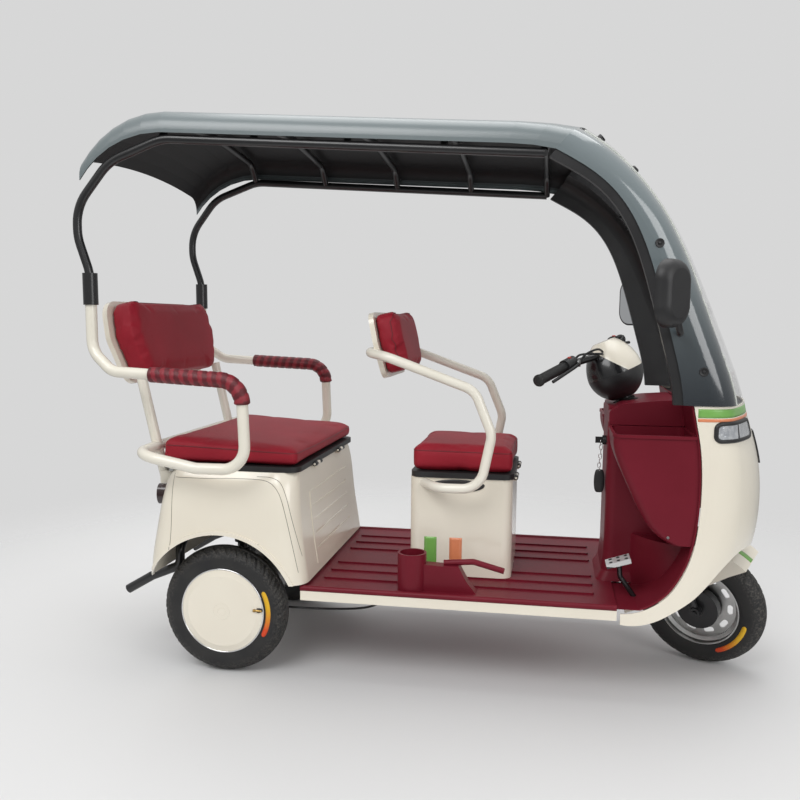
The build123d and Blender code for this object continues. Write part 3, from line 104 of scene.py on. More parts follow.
camera_data = bpy.data.cameras.new("camera")
camera = bpy.data.objects.new("camera", camera_data)
bpy.context.scene.collection.objects.link(camera)
camera_data.sensor_width = sensor
camera_data.lens = lens_px / frame_px * sensor
camera_data.shift_x = (frame_px / 2 - centre_px[0]) / frame_px
camera_data.shift_y = (centre_px[1] - frame_px / 2) / frame_px
turn = Matrix((right, up, -forward)).transposed()
camera.matrix_world = Matrix.Translation(camera_at) @ turn.to_4x4()
bpy.context.scene.camera = camera
print("lens", round(camera_data.lens, 2), "mm")

# %% [markdown]
# Large soft lamps show the true colours and leave no hard shadow. The strongest one stands at
# the side that the camera sees, and a weaker one behind parts the canopy from the backdrop.

# %% Lamps
scene = bpy.context.scene
scene.view_settings.view_transform = "Standard"


def lamp(name, place, aim, size, power, in_reflections=True):
    """An area lamp at a place, aimed at a point."""
    data = bpy.data.lights.new(name, "AREA")
    data.shape = "RECTANGLE"
    data.size, data.size_y = size
    data.energy = power
    thing = bpy.data.objects.new(name, data)
    scene.collection.objects.link(thing)
    thing.location = place
    thing.rotation_euler = (Vector(aim) - Vector(place)).to_track_quat("-Z", "Y").to_euler()
    thing.visible_glossy = in_reflections


lamp("key_lamp", (-1.5, -3.6, 4.2), (0, 0, 0.7), (3.2, 2.4), 105)
lamp("fill_lamp", (3.6, -3.0, 2.2), (0.2, 0, 0.8), (2.4, 2.4), 55)
lamp("top_lamp", (0.2, 0.6, 4.6), (0.2, 0, 0.6), (4.0, 3.0), 70)
# The lamp behind lights the canopy, but would show in it as a hard white patch
lamp("back_lamp", (-2.8, 3.4, 2.6), (0, 0, 0.9), (2.6, 2.0), 45, in_reflections=False)
print("lamps:", len(bpy.data.lights))

# %% [markdown]
# Every material and the sky are trees of nodes. Three helpers keep them short to write: one
# adds a node with its settings, one links outputs to inputs, and one starts a material.

# %% Node helpers


def add_node(tree, kind, values=None, **settings):
    """A shader node with its settings and with values on its sockets."""
    node = tree.nodes.new("ShaderNode" + kind)
    for label, value in settings.items():
        setattr(node, label, value)
    for label, value in (values or {}).items():
        node.inputs[label].default_value = value
    return node


def wire(tree, *pairs):
    """Links each output to its input."""
    for source, target in pairs:
        tree.links.new(source, target)


def new_material(name, values):
    """A material, its node tree and its main shader with some values set."""
    paint = bpy.data.materials.new(name)
    paint.use_nodes = True
    shader = paint.node_tree.nodes["Principled BSDF"]
    for label, value in values.items():
        shader.inputs[label].default_value = value
    return paint, paint.node_tree, shader


print("node helpers ready")

# %% [markdown]
# The sky lights the machine from all round, more from above than from below. What the camera
# sees of it is one plain grey, also through the clear screen.

# %% Sky
backdrop = (0.68, 0.68, 0.68, 1)
world = bpy.data.worlds.new("studio")
scene.world = world
world.use_nodes = True
tree = world.node_tree
tree.nodes.clear()
out = add_node(tree, "OutputWorld")
lit = add_node(tree, "Background", {"Color": (1, 1, 1, 1)})
seen = add_node(tree, "Background", {"Color": backdrop})
mix = add_node(tree, "MixShader")
path = add_node(tree, "LightPath")
way = add_node(tree, "TexCoord")
split = add_node(tree, "SeparateXYZ")
dome = add_node(tree, "MapRange", {"From Min": -0.2, "From Max": 0.9, "To Min": 0.26,
                                   "To Max": 0.80})
either = add_node(tree, "Math", operation="MAXIMUM")
wire(tree, (way.outputs["Generated"], split.inputs["Vector"]),
     (split.outputs["Z"], dome.inputs["Value"]),
     (dome.outputs["Result"], lit.inputs["Strength"]),
     (path.outputs["Is Camera Ray"], either.inputs[0]),
     (path.outputs["Is Transmission Ray"], either.inputs[1]),
     (either.outputs["Value"], mix.inputs[0]),
     (lit.outputs[0], mix.inputs[1]),
     (seen.outputs[0], mix.inputs[2]),
     (mix.outputs[0], out.inputs["Surface"]))
print("sky nodes:", len(tree.nodes))

# %% [markdown]
# The floor keeps the shadow. It looks pale through its own colour, not through extra light on
# the machine, and it fades out a few metres away, so that no hard horizon shows.

# %% Floor


def mesh_piece(name, verts, faces, smooth=True):
    """A mesh object from points and faces."""
    mesh = bpy.data.meshes.new(name)
    mesh.from_pydata([tuple(v) for v in verts], [], faces)
    mesh.update()
    if smooth:
        mesh.shade_smooth()
    thing = bpy.data.objects.new(name, mesh)
    scene.collection.objects.link(thing)
    return thing


floor_reach, fade_from, fade_to = 6.0, 1.2, 3.2
floor = mesh_piece("floor", [(x * floor_reach, y * floor_reach, 0)
                             for x, y in ((-1, -1), (1, -1), (1, 1), (-1, 1))],
                   [(0, 1, 2, 3)], smooth=False)
floor_paint, tree, shader = new_material("floor_paint", {"Base Color": backdrop,
                                                         "Roughness": 0.9})
spot = add_node(tree, "TexCoord")
reach = add_node(tree, "VectorMath", operation="LENGTH")
fade = add_node(tree, "MapRange", {"From Min": fade_from, "From Max": fade_to, "To Min": 1.0,
                                   "To Max": 0.0}, interpolation_type="SMOOTHSTEP")
wire(tree, (spot.outputs["Object"], reach.inputs[0]),
     (reach.outputs["Value"], fade.inputs["Value"]),
     (fade.outputs["Result"], shader.inputs["Alpha"]))
floor.data.materials.append(floor_paint)
print("floor reaches", floor_reach, "m")

# %% [markdown]
# Several finishes share the same small effects: a grain, an orange-peel texture and a slow
# mottling of the colour. Each is a node group with named sockets, made once and reused.

# %% Shared effect groups


def effect_group(name, scale, output):
    """A shader node group with a scale going in and one value coming out."""
    tree = bpy.data.node_groups.new(name, "ShaderNodeTree")
    socket = tree.interface.new_socket("Scale", in_out="INPUT", socket_type="NodeSocketFloat")
    socket.default_value = scale
    tree.interface.new_socket(output, in_out="OUTPUT", socket_type="NodeSocketFloat")
    return tree, tree.nodes.new("NodeGroupInput"), tree.nodes.new("NodeGroupOutput")


def textured(tree, kind, group_in, values=None, **settings):
    """A texture in object space whose scale comes from the group's socket."""
    coords = add_node(tree, "TexCoord")
    texture = add_node(tree, kind, values, **settings)
    wire(tree, (coords.outputs["Object"], texture.inputs["Vector"]),
         (group_in.outputs["Scale"], texture.inputs["Scale"]))
    return texture


def spread(tree, source, low, high, **settings):
    """Maps a value between two limits to the full range."""
    ramp = add_node(tree, "MapRange", {"From Min": low, "From Max": high}, **settings)
    wire(tree, (source, ramp.inputs["Value"]))
    return ramp.outputs["Result"]


mottle, g_in, g_out = effect_group("mottle", 6.0, "Mask")
slow = textured(mottle, "TexNoise", g_in, {"Detail": 3.0})
wire(mottle, (spread(mottle, slow.outputs["Fac"], 0.35, 0.65), g_out.inputs["Mask"]))

peel, g_in, g_out = effect_group("orange_peel", 220.0, "Height")
fine = textured(peel, "TexNoise", g_in, {"Detail": 1.0})
wire(peel, (fine.outputs["Fac"], g_out.inputs["Height"]))

grain, g_in, g_out = effect_group("leather_grain", 420.0, "Height")
cells = textured(grain, "TexVoronoi", g_in, feature="DISTANCE_TO_EDGE")
wire(grain, (spread(grain, cells.outputs["Distance"], 0.0, 0.25), g_out.inputs["Height"]))
print("effect groups:", [g.name for g in bpy.data.node_groups])

# %% [markdown]
# Each finish is a Principled shader. The helper mixes two close colours by a slow mottle and
# adds a fine relief, because even a new moulded part is never one flat colour.

# %% Finish helper
bump_strength, coat_rough = 0.6, 0.1


def finish(name, colour, other, rough, relief=None, relief_scale=200.0, relief_depth=0.0002,
           mottle_scale=6.0, metal=0.0, coat=0.0, specular=0.5):
    """A Principled material with mottled colour and an optional relief group."""
    paint, tree, shader = new_material(name, {
        "Roughness": rough, "Metallic": metal, "Coat Weight": coat,
        "Coat Roughness": coat_rough, "Specular IOR Level": specular})
    mask = add_node(tree, "Group", node_tree=mottle)
    mask.inputs["Scale"].default_value = mottle_scale
    blend = add_node(tree, "Mix", data_type="RGBA")
    blend.inputs["A"].default_value = (*colour, 1)
    blend.inputs["B"].default_value = (*other, 1)
    wire(tree, (mask.outputs["Mask"], blend.inputs["Factor"]),
         (blend.outputs["Result"], shader.inputs["Base Color"]))
    if relief:
        bumps = add_node(tree, "Group", node_tree=relief)
        bumps.inputs["Scale"].default_value = relief_scale
        bump = add_node(tree, "Bump", {"Distance": relief_depth, "Strength": bump_strength})
        wire(tree, (bumps.outputs["Height"], bump.inputs["Height"]),
             (bump.outputs["Normal"], shader.inputs["Normal"]))
    return paint


def lay_over(paint, mask, colour, own="B", other="A"):
    """Mixes one more colour into a finish: its own colour stays where the mask is white."""
    tree, shader = paint.node_tree, paint.node_tree.nodes["Principled BSDF"]
    over = add_node(tree, "Mix", data_type="RGBA")
    over.inputs[other].default_value = (*colour, 1)
    wire(tree, (mask, over.inputs["Factor"]),
         (shader.inputs["Base Color"].links[0].from_socket, over.inputs[own]),
         (over.outputs["Result"], shader.inputs["Base Color"]))


def place_in(tree):
    """The outputs of a point's place in object space, split into X, Y and Z."""
    spot, split = add_node(tree, "TexCoord"), add_node(tree, "SeparateXYZ")
    wire(tree, (spot.outputs["Object"], split.inputs["Vector"]))
    return split.outputs


def stored_value(paint, label):
    """The value that a mesh stores on its points under a name."""
    return add_node(paint.node_tree, "Attribute", attribute_name=label).outputs["Fac"]


print("finish helpers ready")

# %% [markdown]
# The plain finishes. A clear coat gives the moulded cream plastic its shine, and the seats'
# leatherette reflects little, so that its red stays deep.

# %% Plain finishes
cream, cream_shade = (0.86, 0.805, 0.685), (0.83, 0.77, 0.65)
cream_paint = finish("cream_gloss", cream, cream_shade, 0.22, peel, 160, 0.0001, 3.0, coat=0.5)
tube_paint = finish("cream_tube_enamel", (0.87, 0.83, 0.73), (0.84, 0.80, 0.69), 0.25, peel, 300,
                    0.0001, 8.0, coat=0.4)
red_plastic = finish("dark_red_plastic", (0.165, 0.010, 0.022), (0.145, 0.008, 0.018), 0.40, peel,
                     700, 0.00025, 5.0, specular=0.22)
red_leather = finish("dark_red_leatherette", (0.33, 0.018, 0.032), (0.28, 0.014, 0.026), 0.42,
                     grain, 520, 0.00035, 7.0, specular=0.18)
black_plastic = finish("black_plastic", (0.012, 0.012, 0.013), (0.018, 0.018, 0.019), 0.45, peel,
                       500, 0.0002, 9.0)
black_paint = finish("black_tube_enamel", (0.011, 0.011, 0.012), (0.016, 0.016, 0.017), 0.3, peel,
                     260, 0.0001, 6.0, coat=0.3)
rubber = finish("tyre_rubber", (0.012, 0.012, 0.013), (0.022, 0.021, 0.020), 0.62, peel, 900,
                0.0002, 14.0)
steel = finish("pressed_steel", (0.50, 0.50, 0.49), (0.60, 0.60, 0.59), 0.32, peel, 300, 0.0001,
               20.0, metal=1.0)
silver = finish("mirror_silver", (0.78, 0.80, 0.82), (0.80, 0.82, 0.84), 0.03, mottle_scale=2.0,
                metal=1.0)
lamp_red = finish("smoked_red_lens", (0.030, 0.005, 0.005), (0.018, 0.004, 0.004), 0.1, peel, 500,
                  0.0002, 9.0, coat=0.8)
clear, tree, shader = new_material("clear_screen", {
    "Base Color": (0.93, 0.96, 0.96, 1), "Roughness": 0.02, "IOR": 1.25,
    "Transmission Weight": 1.0, "Alpha": 0.16})
print("plain finishes:", len(bpy.data.materials))

# %% [markdown]
# The canopy is glossy outside and has a satin black lining. One mask, made from the way that
# the surface faces, gives the lining its colour, its roughness and its missing coat.

# %% Canopy finish
# Painted reflection: the outside's blue-grey base colour is lighter than the dark plastic itself, for the bright
# surroundings that it reflects. The black lining below is its own colour.
canopy_shell = finish("canopy_shell_gloss", (0.135, 0.165, 0.172), (0.150, 0.182, 0.190), 0.16,
                      peel, 60, 0.0003, 2.5, coat=1.0)
tree = canopy_shell.node_tree
shader = tree.nodes["Principled BSDF"]
facing, split = add_node(tree, "NewGeometry"), add_node(tree, "SeparateXYZ")
wire(tree, (facing.outputs["True Normal"], split.inputs["Vector"]))
outside = spread(tree, split.outputs["Z"], -0.12, -0.02)
lay_over(canopy_shell, outside, (0.008, 0.008, 0.009))
for socket, in_lining, on_top in (("Roughness", 0.55, 0.3), ("Coat Weight", 0.0, 0.7)):
    amount = add_node(tree, "MapRange", {"To Min": in_lining, "To Max": on_top})
    wire(tree, (outside, amount.inputs["Value"]),
         (amount.outputs["Result"], shader.inputs[socket]))
shader.inputs["Coat Roughness"].default_value = 0.3
print("canopy finish nodes:", len(tree.nodes))

# %% [markdown]
# Three pieces are of two colours. The pillars' dark plastic is painted paler towards the roof, a
# painted reflection of the bright surroundings; the pedal's arm is black below its bright pad, and
# the bar's cover is cream above a slanting line.

# %% Finishes of two colours


def by_height(name, low_colour, high_colour, low_z, high_z, coat):
    """A finish whose colour changes with height: one colour below low_z, another above."""
    paint = finish(name, high_colour, high_colour, 0.14, peel, 60, 0.0003, 2.5, coat=coat)
    tree = paint.node_tree
    lay_over(paint, spread(tree, place_in(tree)["Z"], low_z, high_z,
                           interpolation_type="SMOOTHSTEP"), low_colour)
    return paint


# Painted reflection: the pillars' dark gloss is coloured paler towards the roof for the bright surroundings that
# it reflects.
pillar_painted_reflection = by_height("pillar_painted_reflection", (0.014, 0.018, 0.024), (0.16, 0.195, 0.205), 0.80, 1.45,
                         coat=1.0)
pedal_paint = by_height("pedal_two_tone", (0.010, 0.010, 0.011), (0.60, 0.60, 0.60), 0.3845,
                        0.3855, coat=0.3)

cover_slope, cover_edge = 0.47, 0.0004
cover_mark = at(1110, 0, 1021)
cover_line = cover_mark.z + cover_slope * cover_mark.x
cover_paint = finish("bar_cover_two_tone", cream, cream_shade, 0.24, peel, 160, 0.0001, 3.0,
                     coat=0.4)
tree = cover_paint.node_tree
place = place_in(tree)
slope = add_node(tree, "Math", operation="MULTIPLY_ADD")
slope.inputs[1].default_value = cover_slope
wire(tree, (place["X"], slope.inputs[0]), (place["Z"], slope.inputs[2]))
lay_over(cover_paint, spread(tree, slope.outputs["Value"], cover_line - cover_edge,
                             cover_line + cover_edge), (0.012, 0.012, 0.013))
print("finishes:", len(bpy.data.materials))

# %% [markdown]
# Every piece of the model names a material slot. One table turns a slot into a finish,
# and a second one names the few pieces that have a finish of their own.

# %% Give each piece of the model its finish
by_slot = {
    "cream_plastic": cream_paint, "cream_tube": tube_paint, "red_plastic": red_plastic,
    "red_leather": red_leather, "black_tube": black_paint, "black_plastic": black_plastic,
    "roof_dark": black_plastic, "clear_screen": clear, "mirror_glass": silver,
    "tyre_rubber": rubber, "grip_rubber": rubber, "wheel_steel": steel,
    "lamp_clear": clear, "lamp_red": lamp_red, "battery_case": black_plastic,
}
by_node = {"roof_shell": canopy_shell, "bar_cover": cover_paint,
           "pillar_panels": pillar_painted_reflection, "brake_pedal": pedal_paint}


def repaint(piece, paint):
    """Gives an object one material in place of what it had."""
    piece.data.materials.clear()
    piece.data.materials.append(paint)


for entry in frame["record"]["subparts"]:
    repaint(nodes[entry["node"]], by_node.get(entry["node"], by_slot[entry["material_slot"]]))

# %% [markdown]
# Many small pieces lie on a curved panel: a stripe, a seam, a lamp's frame. Modelling each
# curve by hand would never fit, so a ray is cast at the panel and the piece is laid where the
# ray lands. The helpers here find those points.

# %% Rays onto a piece
skins = {}


def skin(node):
    """A search tree over one piece of the model, for casting rays at it."""
    if node not in skins:
        piece = nodes[node]
        place = piece.matrix_world
        skins[node] = BVHTree.FromPolygons([place @ v.co for v in piece.data.vertices],
                                           [tuple(p.vertices) for p in piece.data.polygons])
    return skins[node]


def landed(node, start, way, far=10.0):
    """Where a ray lands on a piece, and the surface's normal on the ray's side."""
    way = Vector(way).normalized()
    spot, normal, _, _ = skin(node).ray_cast(Vector(start), way, far)
    if spot is None:
        return None
    return spot, (normal if normal.dot(way) < 0 else -normal)


print("rays ready")

# %% [markdown]
# Most small pieces are tubes or turned profiles. Each builder returns points and faces, called
# a chunk here, so that one piece can be made of several chunks. A piece rides on the body that
# it moves with.

# %% Mesh builders


def put(thing, body, paint, slot_name, *replaced):
    """Paints a finished piece and says which body it rides on."""
    thing.data.materials.append(paint)
    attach(thing, body)
    if replaced:
        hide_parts(*replaced)
    return thing


def turns(count):
    """Angles that share a full turn evenly."""
    return [2 * math.pi * k / count for k in range(count)]


def loop_faces(rows, ring, closed=False):
    """Quads between rows of points, each row a closed ring, with a cap at each open end."""
    faces = []
    for i in range(rows if closed else rows - 1):
        for k in range(ring):
            a, b = i * ring + k, i * ring + (k + 1) % ring
            c, d = (i + 1) % rows * ring + (k + 1) % ring, (i + 1) % rows * ring + k
            faces.append((a, b, c, d))
    if not closed:
        faces.append(tuple(reversed(range(ring))))
        faces.append(tuple((rows - 1) * ring + k for k in range(ring)))
    return faces


def joined(chunks):
    """Several (points, faces) lists as one."""
    verts, faces = [], []
    for points, quads in chunks:
        base = len(verts)
        verts += points
        faces += [tuple(base + i for i in quad) for quad in quads]
    return verts, faces


def run_at(points, i, closed=False):
    """The way from the point before point i to the one after it."""
    last = len(points) - 1
    ahead = points[(i + 1) % len(points)] if closed or i < last else points[i]
    behind = points[i - 1] if closed or i > 0 else points[i]
    return ahead - behind


def tube_chunk(points, radius, sides=10, closed=False):
    """Points and faces of a tube along a path, without twist."""
    points = [Vector(p) for p in points]
    verts, side = [], None
    for i, here in enumerate(points):
        along = run_at(points, i, closed).normalized()
        if side is None:
            side = along.orthogonal().normalized()
        side = (side - along * side.dot(along)).normalized()
        lift = along.cross(side)
        verts += [here + side * (radius * math.cos(a)) + lift * (radius * math.sin(a))
                  for a in turns(sides)]
    return verts, loop_faces(len(points), sides, closed)


def turned_chunk(profile, centre, axis, steps=32):
    """Points and faces of a profile of (along, radius) pairs turned about an axis."""
    axis = Vector(axis).normalized()
    side = axis.orthogonal().normalized()
    lift = axis.cross(side)
    tiny = 0.00005
    verts = [Vector(centre) + axis * along
             + (side * math.cos(a) + lift * math.sin(a)) * max(radius, tiny)
             for along, radius in profile for a in turns(steps)]
    return verts, loop_faces(len(profile), steps)


def flat_ring(centre, wide, tall, count, across=Vector((1, 0, 0))):
    """Points of an upright ellipse about a centre."""
    return [centre + across * (wide * math.cos(a)) + Vector((0, 0, tall * math.sin(a)))
            for a in turns(count)]


print("mesh builders ready")

# %% [markdown]
# Tubes and strips follow paths. A path can pass smoothly through its points, have its corners
# rounded, or be divided into short even steps so that a strip bends with its panel.

# %% Paths


def smooth_path(points, per_leg=8):
    """A smooth curve through points."""
    points = [Vector(p) for p in points]
    last, result = len(points) - 1, []
    for i in range(last):
        near = [points[min(max(j, 0), last)] for j in range(i - 1, i + 3)]
        for k in range(per_leg):
            t = k / per_leg
            result.append(0.5 * (2 * near[1] + (near[2] - near[0]) * t
                                 + (2 * near[0] - 5 * near[1] + 4 * near[2] - near[3]) * t**2
                                 + (3 * near[1] - near[0] - 3 * near[2] + near[3]) * t**3))
    return result + [points[-1]]


def rounded(points, bend, steps=8):
    """A path with its corners rounded to arcs of one radius."""
    points = [Vector(p) for p in points]
    result = [points[0]]
    for before, corner, after in zip(points, points[1:], points[2:]):
        back, on = (before - corner).normalized(), (after - corner).normalized()
        half = math.acos(max(-1, min(1, back.dot(on)))) / 2
        reach = bend / math.tan(half)
        centre = corner + (back + on).normalized() * (bend / math.sin(half))
        first, last = corner + back * reach - centre, corner + on * reach - centre
        for k in range(steps + 1):
            result.append(centre + first.normalized().slerp(last.normalized(), k / steps) * bend)
    return result + [points[-1]]


def spaced(points, step):
    """The same path with a point about every step."""
    result = [Vector(points[0])]
    for a, b in zip(points, points[1:]):
        a, b = Vector(a), Vector(b)
        parts = max(1, round((b - a).length / step))
        result += [a.lerp(b, (k + 1) / parts) for k in range(parts)]
    return result


print("path helpers ready")

# %% [markdown]
# A strip is cast onto its panel point by point, also across its width, so that it lies close
# on a curved surface. The last helpers turn chunks into a painted piece.

# %% Strips and finished pieces


def laid_chunk(node, path, aim, width, lift=0.0006, closed=False, sink=0.0006, far=0.6):
    """A crowned strip that follows a panel: each path point is cast along aim to the panel."""
    spots = []
    for start in path:
        way = (aim(start) if callable(aim) else Vector(aim)).normalized()
        hit = landed(node, start, way, far)
        if hit:
            spots.append((*hit, way))
    line = [spot[0] for spot in spots]
    verts, back_off = [], 0.02
    for i, (here, normal, way) in enumerate(spots):
        across = run_at(line, i, closed).cross(normal).normalized()
        row = []
        for share in (-0.5, -0.25, 0, 0.25, 0.5):
            point = here + across * (share * width)
            hit = landed(node, point - way * back_off, way, 2 * back_off)
            row.append(hit[0] if hit else point)
        verts += [p + normal * lift * r for p, r in zip(row, (0.3, 0.9, 1.0, 0.9, 0.3))]
        verts += [row[-1] - normal * sink, row[0] - normal * sink]
    return verts, loop_faces(len(spots), 7, closed)


def make(name, chunks, paint=black_plastic, slot_name="black_plastic", body="chassis"):
    """One piece from chunks of points and faces."""
    return put(mesh_piece(name, *joined(chunks)), body, paint, slot_name)


def store_values(thing, label, values):
    """Stores one number on each point of a mesh, for its material to read."""
    thing.data.attributes.new(label, "FLOAT", "POINT").data.foreach_set("value", values)


print("piece helpers ready")

# %% [markdown]
# The seats are foam under leatherette. On the real thing the cover is pulled tight over the
# foam, so the faces crown and the edges stay soft. The shape starts from the model's solid,
# slightly shrunk and remeshed into even squares. Cloth with inside pressure then blows it up
# by a few millimetres, which gives the crowned faces and slightly uneven edges of real foam.

# %% Stuffed cushions
puff_frames, puff_pressure, base_gap = 20, 4.0, 0.0015


def stuffed(name, node, body, voxel, shrink, cap, floor_plane):
    """A cushion blown up from a model solid and kept on one side of its base plane."""
    source = nodes[node]
    place = source.matrix_world
    corners = [place @ v.co for v in source.data.vertices]
    low = Vector([min(c[i] for c in corners) for i in range(3)])
    high = Vector([max(c[i] for c in corners) for i in range(3)])
    middle = (low + high) / 2
    scale = [1 - 2 * shrink / (high[i] - low[i]) for i in range(3)]
    start = [middle + Vector([(c[i] - middle[i]) * scale[i] for i in range(3)]) for c in corners]
    base = mesh_piece(name, start, [tuple(p.vertices) for p in source.data.polygons])
    remesh = base.modifiers.new("even", "REMESH")
    remesh.mode, remesh.voxel_size = "VOXEL", voxel
    soften = base.modifiers.new("soften", "SMOOTH")
    soften.factor, soften.iterations = 0.5, 8
    seen = base.evaluated_get(bpy.context.evaluated_depsgraph_get())
    flat = bpy.data.meshes.new_from_object(seen)
    base.modifiers.clear()
    base.data = flat
    rest = [v.co.copy() for v in flat.vertices]
    cloth = base.modifiers.new("cover", "CLOTH")
    cloth.settings.use_pressure = True
    cloth.settings.uniform_pressure_force = puff_pressure
    cloth.settings.effector_weights.gravity = 0.0
    cloth.point_cache.frame_end = puff_frames
    for step in range(1, puff_frames + 1):
        scene.frame_set(step)
    seen = base.evaluated_get(bpy.context.evaluated_depsgraph_get())
    blown = bpy.data.meshes.new_from_object(seen)
    base.modifiers.clear()
    base.data = blown
    scene.frame_set(1)
    origin, normal = floor_plane
    for vertex, home in zip(base.data.vertices, rest):
        move = vertex.co - home
        if move.length > cap:
            move *= cap / move.length
        point = home + move
        under = (point - origin).dot(normal)
        if under < base_gap:
            point += normal * (base_gap - under)
        vertex.co = point
    base.data.shade_smooth()
    fine = base.modifiers.new("fine", "SUBSURF")
    fine.levels = fine.render_levels = 1
    put(base, body, red_leather, "red_leather", node)
    skins[name] = BVHTree.FromPolygons([v.co.copy() for v in base.data.vertices],
                                       [tuple(p.vertices) for p in base.data.polygons])
    print(name, "faces", len(base.data.polygons))


print("cushion helper ready")

# %% [markdown]
# Each cushion rests on its pan or shell and may only swell away from it. The backrests lean
# back by a few degrees, so their base planes lean too.

# %% The four cushions
pan_top = at(0, 0, 662)
box_pan_top = at(0, 0, 636)
back_tilt = math.radians(13)
back_out = Vector((math.cos(back_tilt), 0, math.sin(back_tilt)))
shell_thick = 0.016
driver_back_low, bench_back_low = at(466, 0, 925), at(-352, 0, 898)
upward = Vector((0, 0, 1))
stuffed("bench_cushion_cover", "bench_cushion", "bench_seat", 0.008, 0.006, 0.010,
        (pan_top, upward))
stuffed("driver_cushion_cover", "driver_cushion", "driver_seat", 0.007, 0.006, 0.010,
        (box_pan_top, upward))
stuffed("bench_back_cover", "bench_back_pad", "chassis", 0.008, 0.005, 0.012,
        (bench_back_low + back_out * shell_thick, back_out))
stuffed("driver_back_cover", "driver_back_pad", "chassis", 0.007, 0.005, 0.012,
        (driver_back_low + back_out * shell_thick, back_out))

# %% [markdown]
# The covers are cut from panels and sewn. A seam runs round each seat's side just under the
# top panel, and round the front panel of each backrest. Each seam is a narrow raised welt laid
# on the finished cover by rays, with the leatherette's grain but about half as bright: painted
# shade along the seam.

# %% Seams of the covers
welt_r, welt_sides, welt_lift = 0.0017, 6, 0.0002
seam_steps, seam_step, seam_bend, ring_start, back_start = 150, 0.012, 0.035, 0.6, 0.2
# Painted shade: the welt is coloured darker than the cover it is sewn into, for the shade along the seam.
welt_painted_shade = finish("red_leather_welt_painted_shade", (0.17, 0.008, 0.016), (0.14, 0.006, 0.012), 0.45,
                  grain, 520, 0.0002, 7.0)


def seam(name, node, rays, body="chassis"):
    """A welt through the points where rays land on a finished cover."""
    hits = [hit for hit in (landed(node, start, way) for start, way in rays) if hit]
    points = [spot + normal * welt_lift for spot, normal in hits]
    make(name, [tube_chunk(points, welt_r, welt_sides, closed=True)], welt_painted_shade, "red_leather",
         body)


def ring_seam(name, node, body, x0, x1, half, z0, z1):
    """A welt round a seat at a height that may slope from its rear to its front."""
    rays = []
    for a in turns(seam_steps):
        way = Vector((math.cos(a) * (x1 - x0), math.sin(a) * 2 * half, 0)).normalized()
        share = 0.5 + 0.5 * max(-1, min(1, way.x * 1.2))
        start = at((x0 + x1) / 2, 0, z0 + (z1 - z0) * share)
        rays.append((start + way * ring_start, -way))
    seam(name, node, rays, body)


def back_seam(name, node, low, tall, halves, inset=0.016):
    """A welt round the front panel of a backrest."""
    rise = Vector((-math.sin(back_tilt), 0, math.cos(back_tilt)))
    foot, wide = (h / 1000 - inset for h in halves)
    shape = [(-foot, inset), (foot, inset), (wide, tall * 0.55), (wide * 0.93, tall - inset),
             (-wide * 0.93, tall - inset), (-wide, tall * 0.55)]
    corners = [low + Vector((0, a, 0)) + rise * b + back_out * back_start
               for a, b in shape]
    path = spaced(rounded(corners + corners[:2], seam_bend)[1:-1], seam_step)
    seam(name, node, [(start, -back_out) for start in path[:-1]])


ring_seam("bench_seam", "bench_cushion_cover", "bench_seat", -214, 250, 362, 722, 698)
ring_seam("driver_seam", "driver_cushion_cover", "driver_seat", 556, 896, 200, 702, 699)
back_seam("bench_back_seam", "bench_back_cover", bench_back_low, 0.268, (285, 335))
back_seam("driver_back_seam", "driver_back_cover", driver_back_low, 0.212, (172, 196))
print("seams sewn")

# %% [markdown]
# The armrests are wound with a long strip of leatherette. Each turn overlaps the last, so the
# outside rises and falls. Half of each turn is painted darker, a painted shade of the overlapping
# winding. The piece is a tube whose radius follows the spiral, and a value stored on its points
# carries these painted shade bands to the material.

# %% Armrest wraps
loop_foot, loop_rise, loop_long, loop_out = 668.0, 481.0, 503.0, 460.0
post_x = -387.0
loop_shares = ((0.153, 0.952, 0.586), (0.98, 1.0, 0.545), (1.0, 1.0, 0.002))
wrap_start_share, wrap_foot = 0.3, 862.0
wrap_r, wrap_swell, wrap_pitch, wrap_sides = 0.0215, 0.0022, 0.030, 28
wrap_end_r, wrap_end_long = 0.0175, 0.004
wrap_bend, wrap_bend_steps, wrap_step = 0.070, 24, 0.0035

wrap_leather = finish("wound_leatherette", (0.27, 0.018, 0.030), (0.24, 0.014, 0.025), 0.40,
                      grain, 520, 0.0003, 9.0)
# Painted shade: half of each turn is darkened for the shade of the overlapping winding.
lay_over(wrap_leather, stored_value(wrap_leather, "band"), (0.115, 0.007, 0.013))

chunks, bands = [], []
for sign, tag in both_sides:
    knots = [(post_x + loop_long * a, sign * loop_out * b, loop_foot + loop_rise * c)
             for a, b, c in loop_shares]
    start = [a + (b - a) * wrap_start_share for a, b in zip(knots[0], knots[1])]
    drop = (knots[1][2] - wrap_foot) / (knots[1][2] - knots[2][2])
    end = [a + (b - a) * drop for a, b in zip(knots[1], knots[2])]
    path = rounded([at(*start), at(*knots[1]), at(*end)], wrap_bend, wrap_bend_steps)
    path = spaced(path, wrap_step)
    far = [0.0]
    for a, b in zip(path, path[1:]):
        far.append(far[-1] + (b - a).length)
    verts, side = [], None
    for i, here in enumerate(path):
        along = run_at(path, i).normalized()
        side = (side - along * side.dot(along)).normalized() if side else Vector((0, 1, 0))
        lift = along.cross(side)
        close = min(1.0, min(far[i], far[-1] - far[i]) / wrap_end_long) ** 0.5
        for k, a in enumerate(turns(wrap_sides)):
            turn_share = (far[i] / wrap_pitch + sign * k / wrap_sides) % 1.0
            edge = min(turn_share, 1 - turn_share) * 2
            swell = wrap_swell * min(1.0, edge * 3.0)
            r = wrap_end_r + (wrap_r + swell - wrap_end_r) * close
            verts.append(here + side * (r * math.cos(a)) + lift * (r * math.sin(a)))
            bands.append(1.0 if turn_share < 0.5 else 0.0)
    chunks.append((verts, loop_faces(len(path), wrap_sides)))
wraps = mesh_piece("armrest_windings", *joined(chunks))
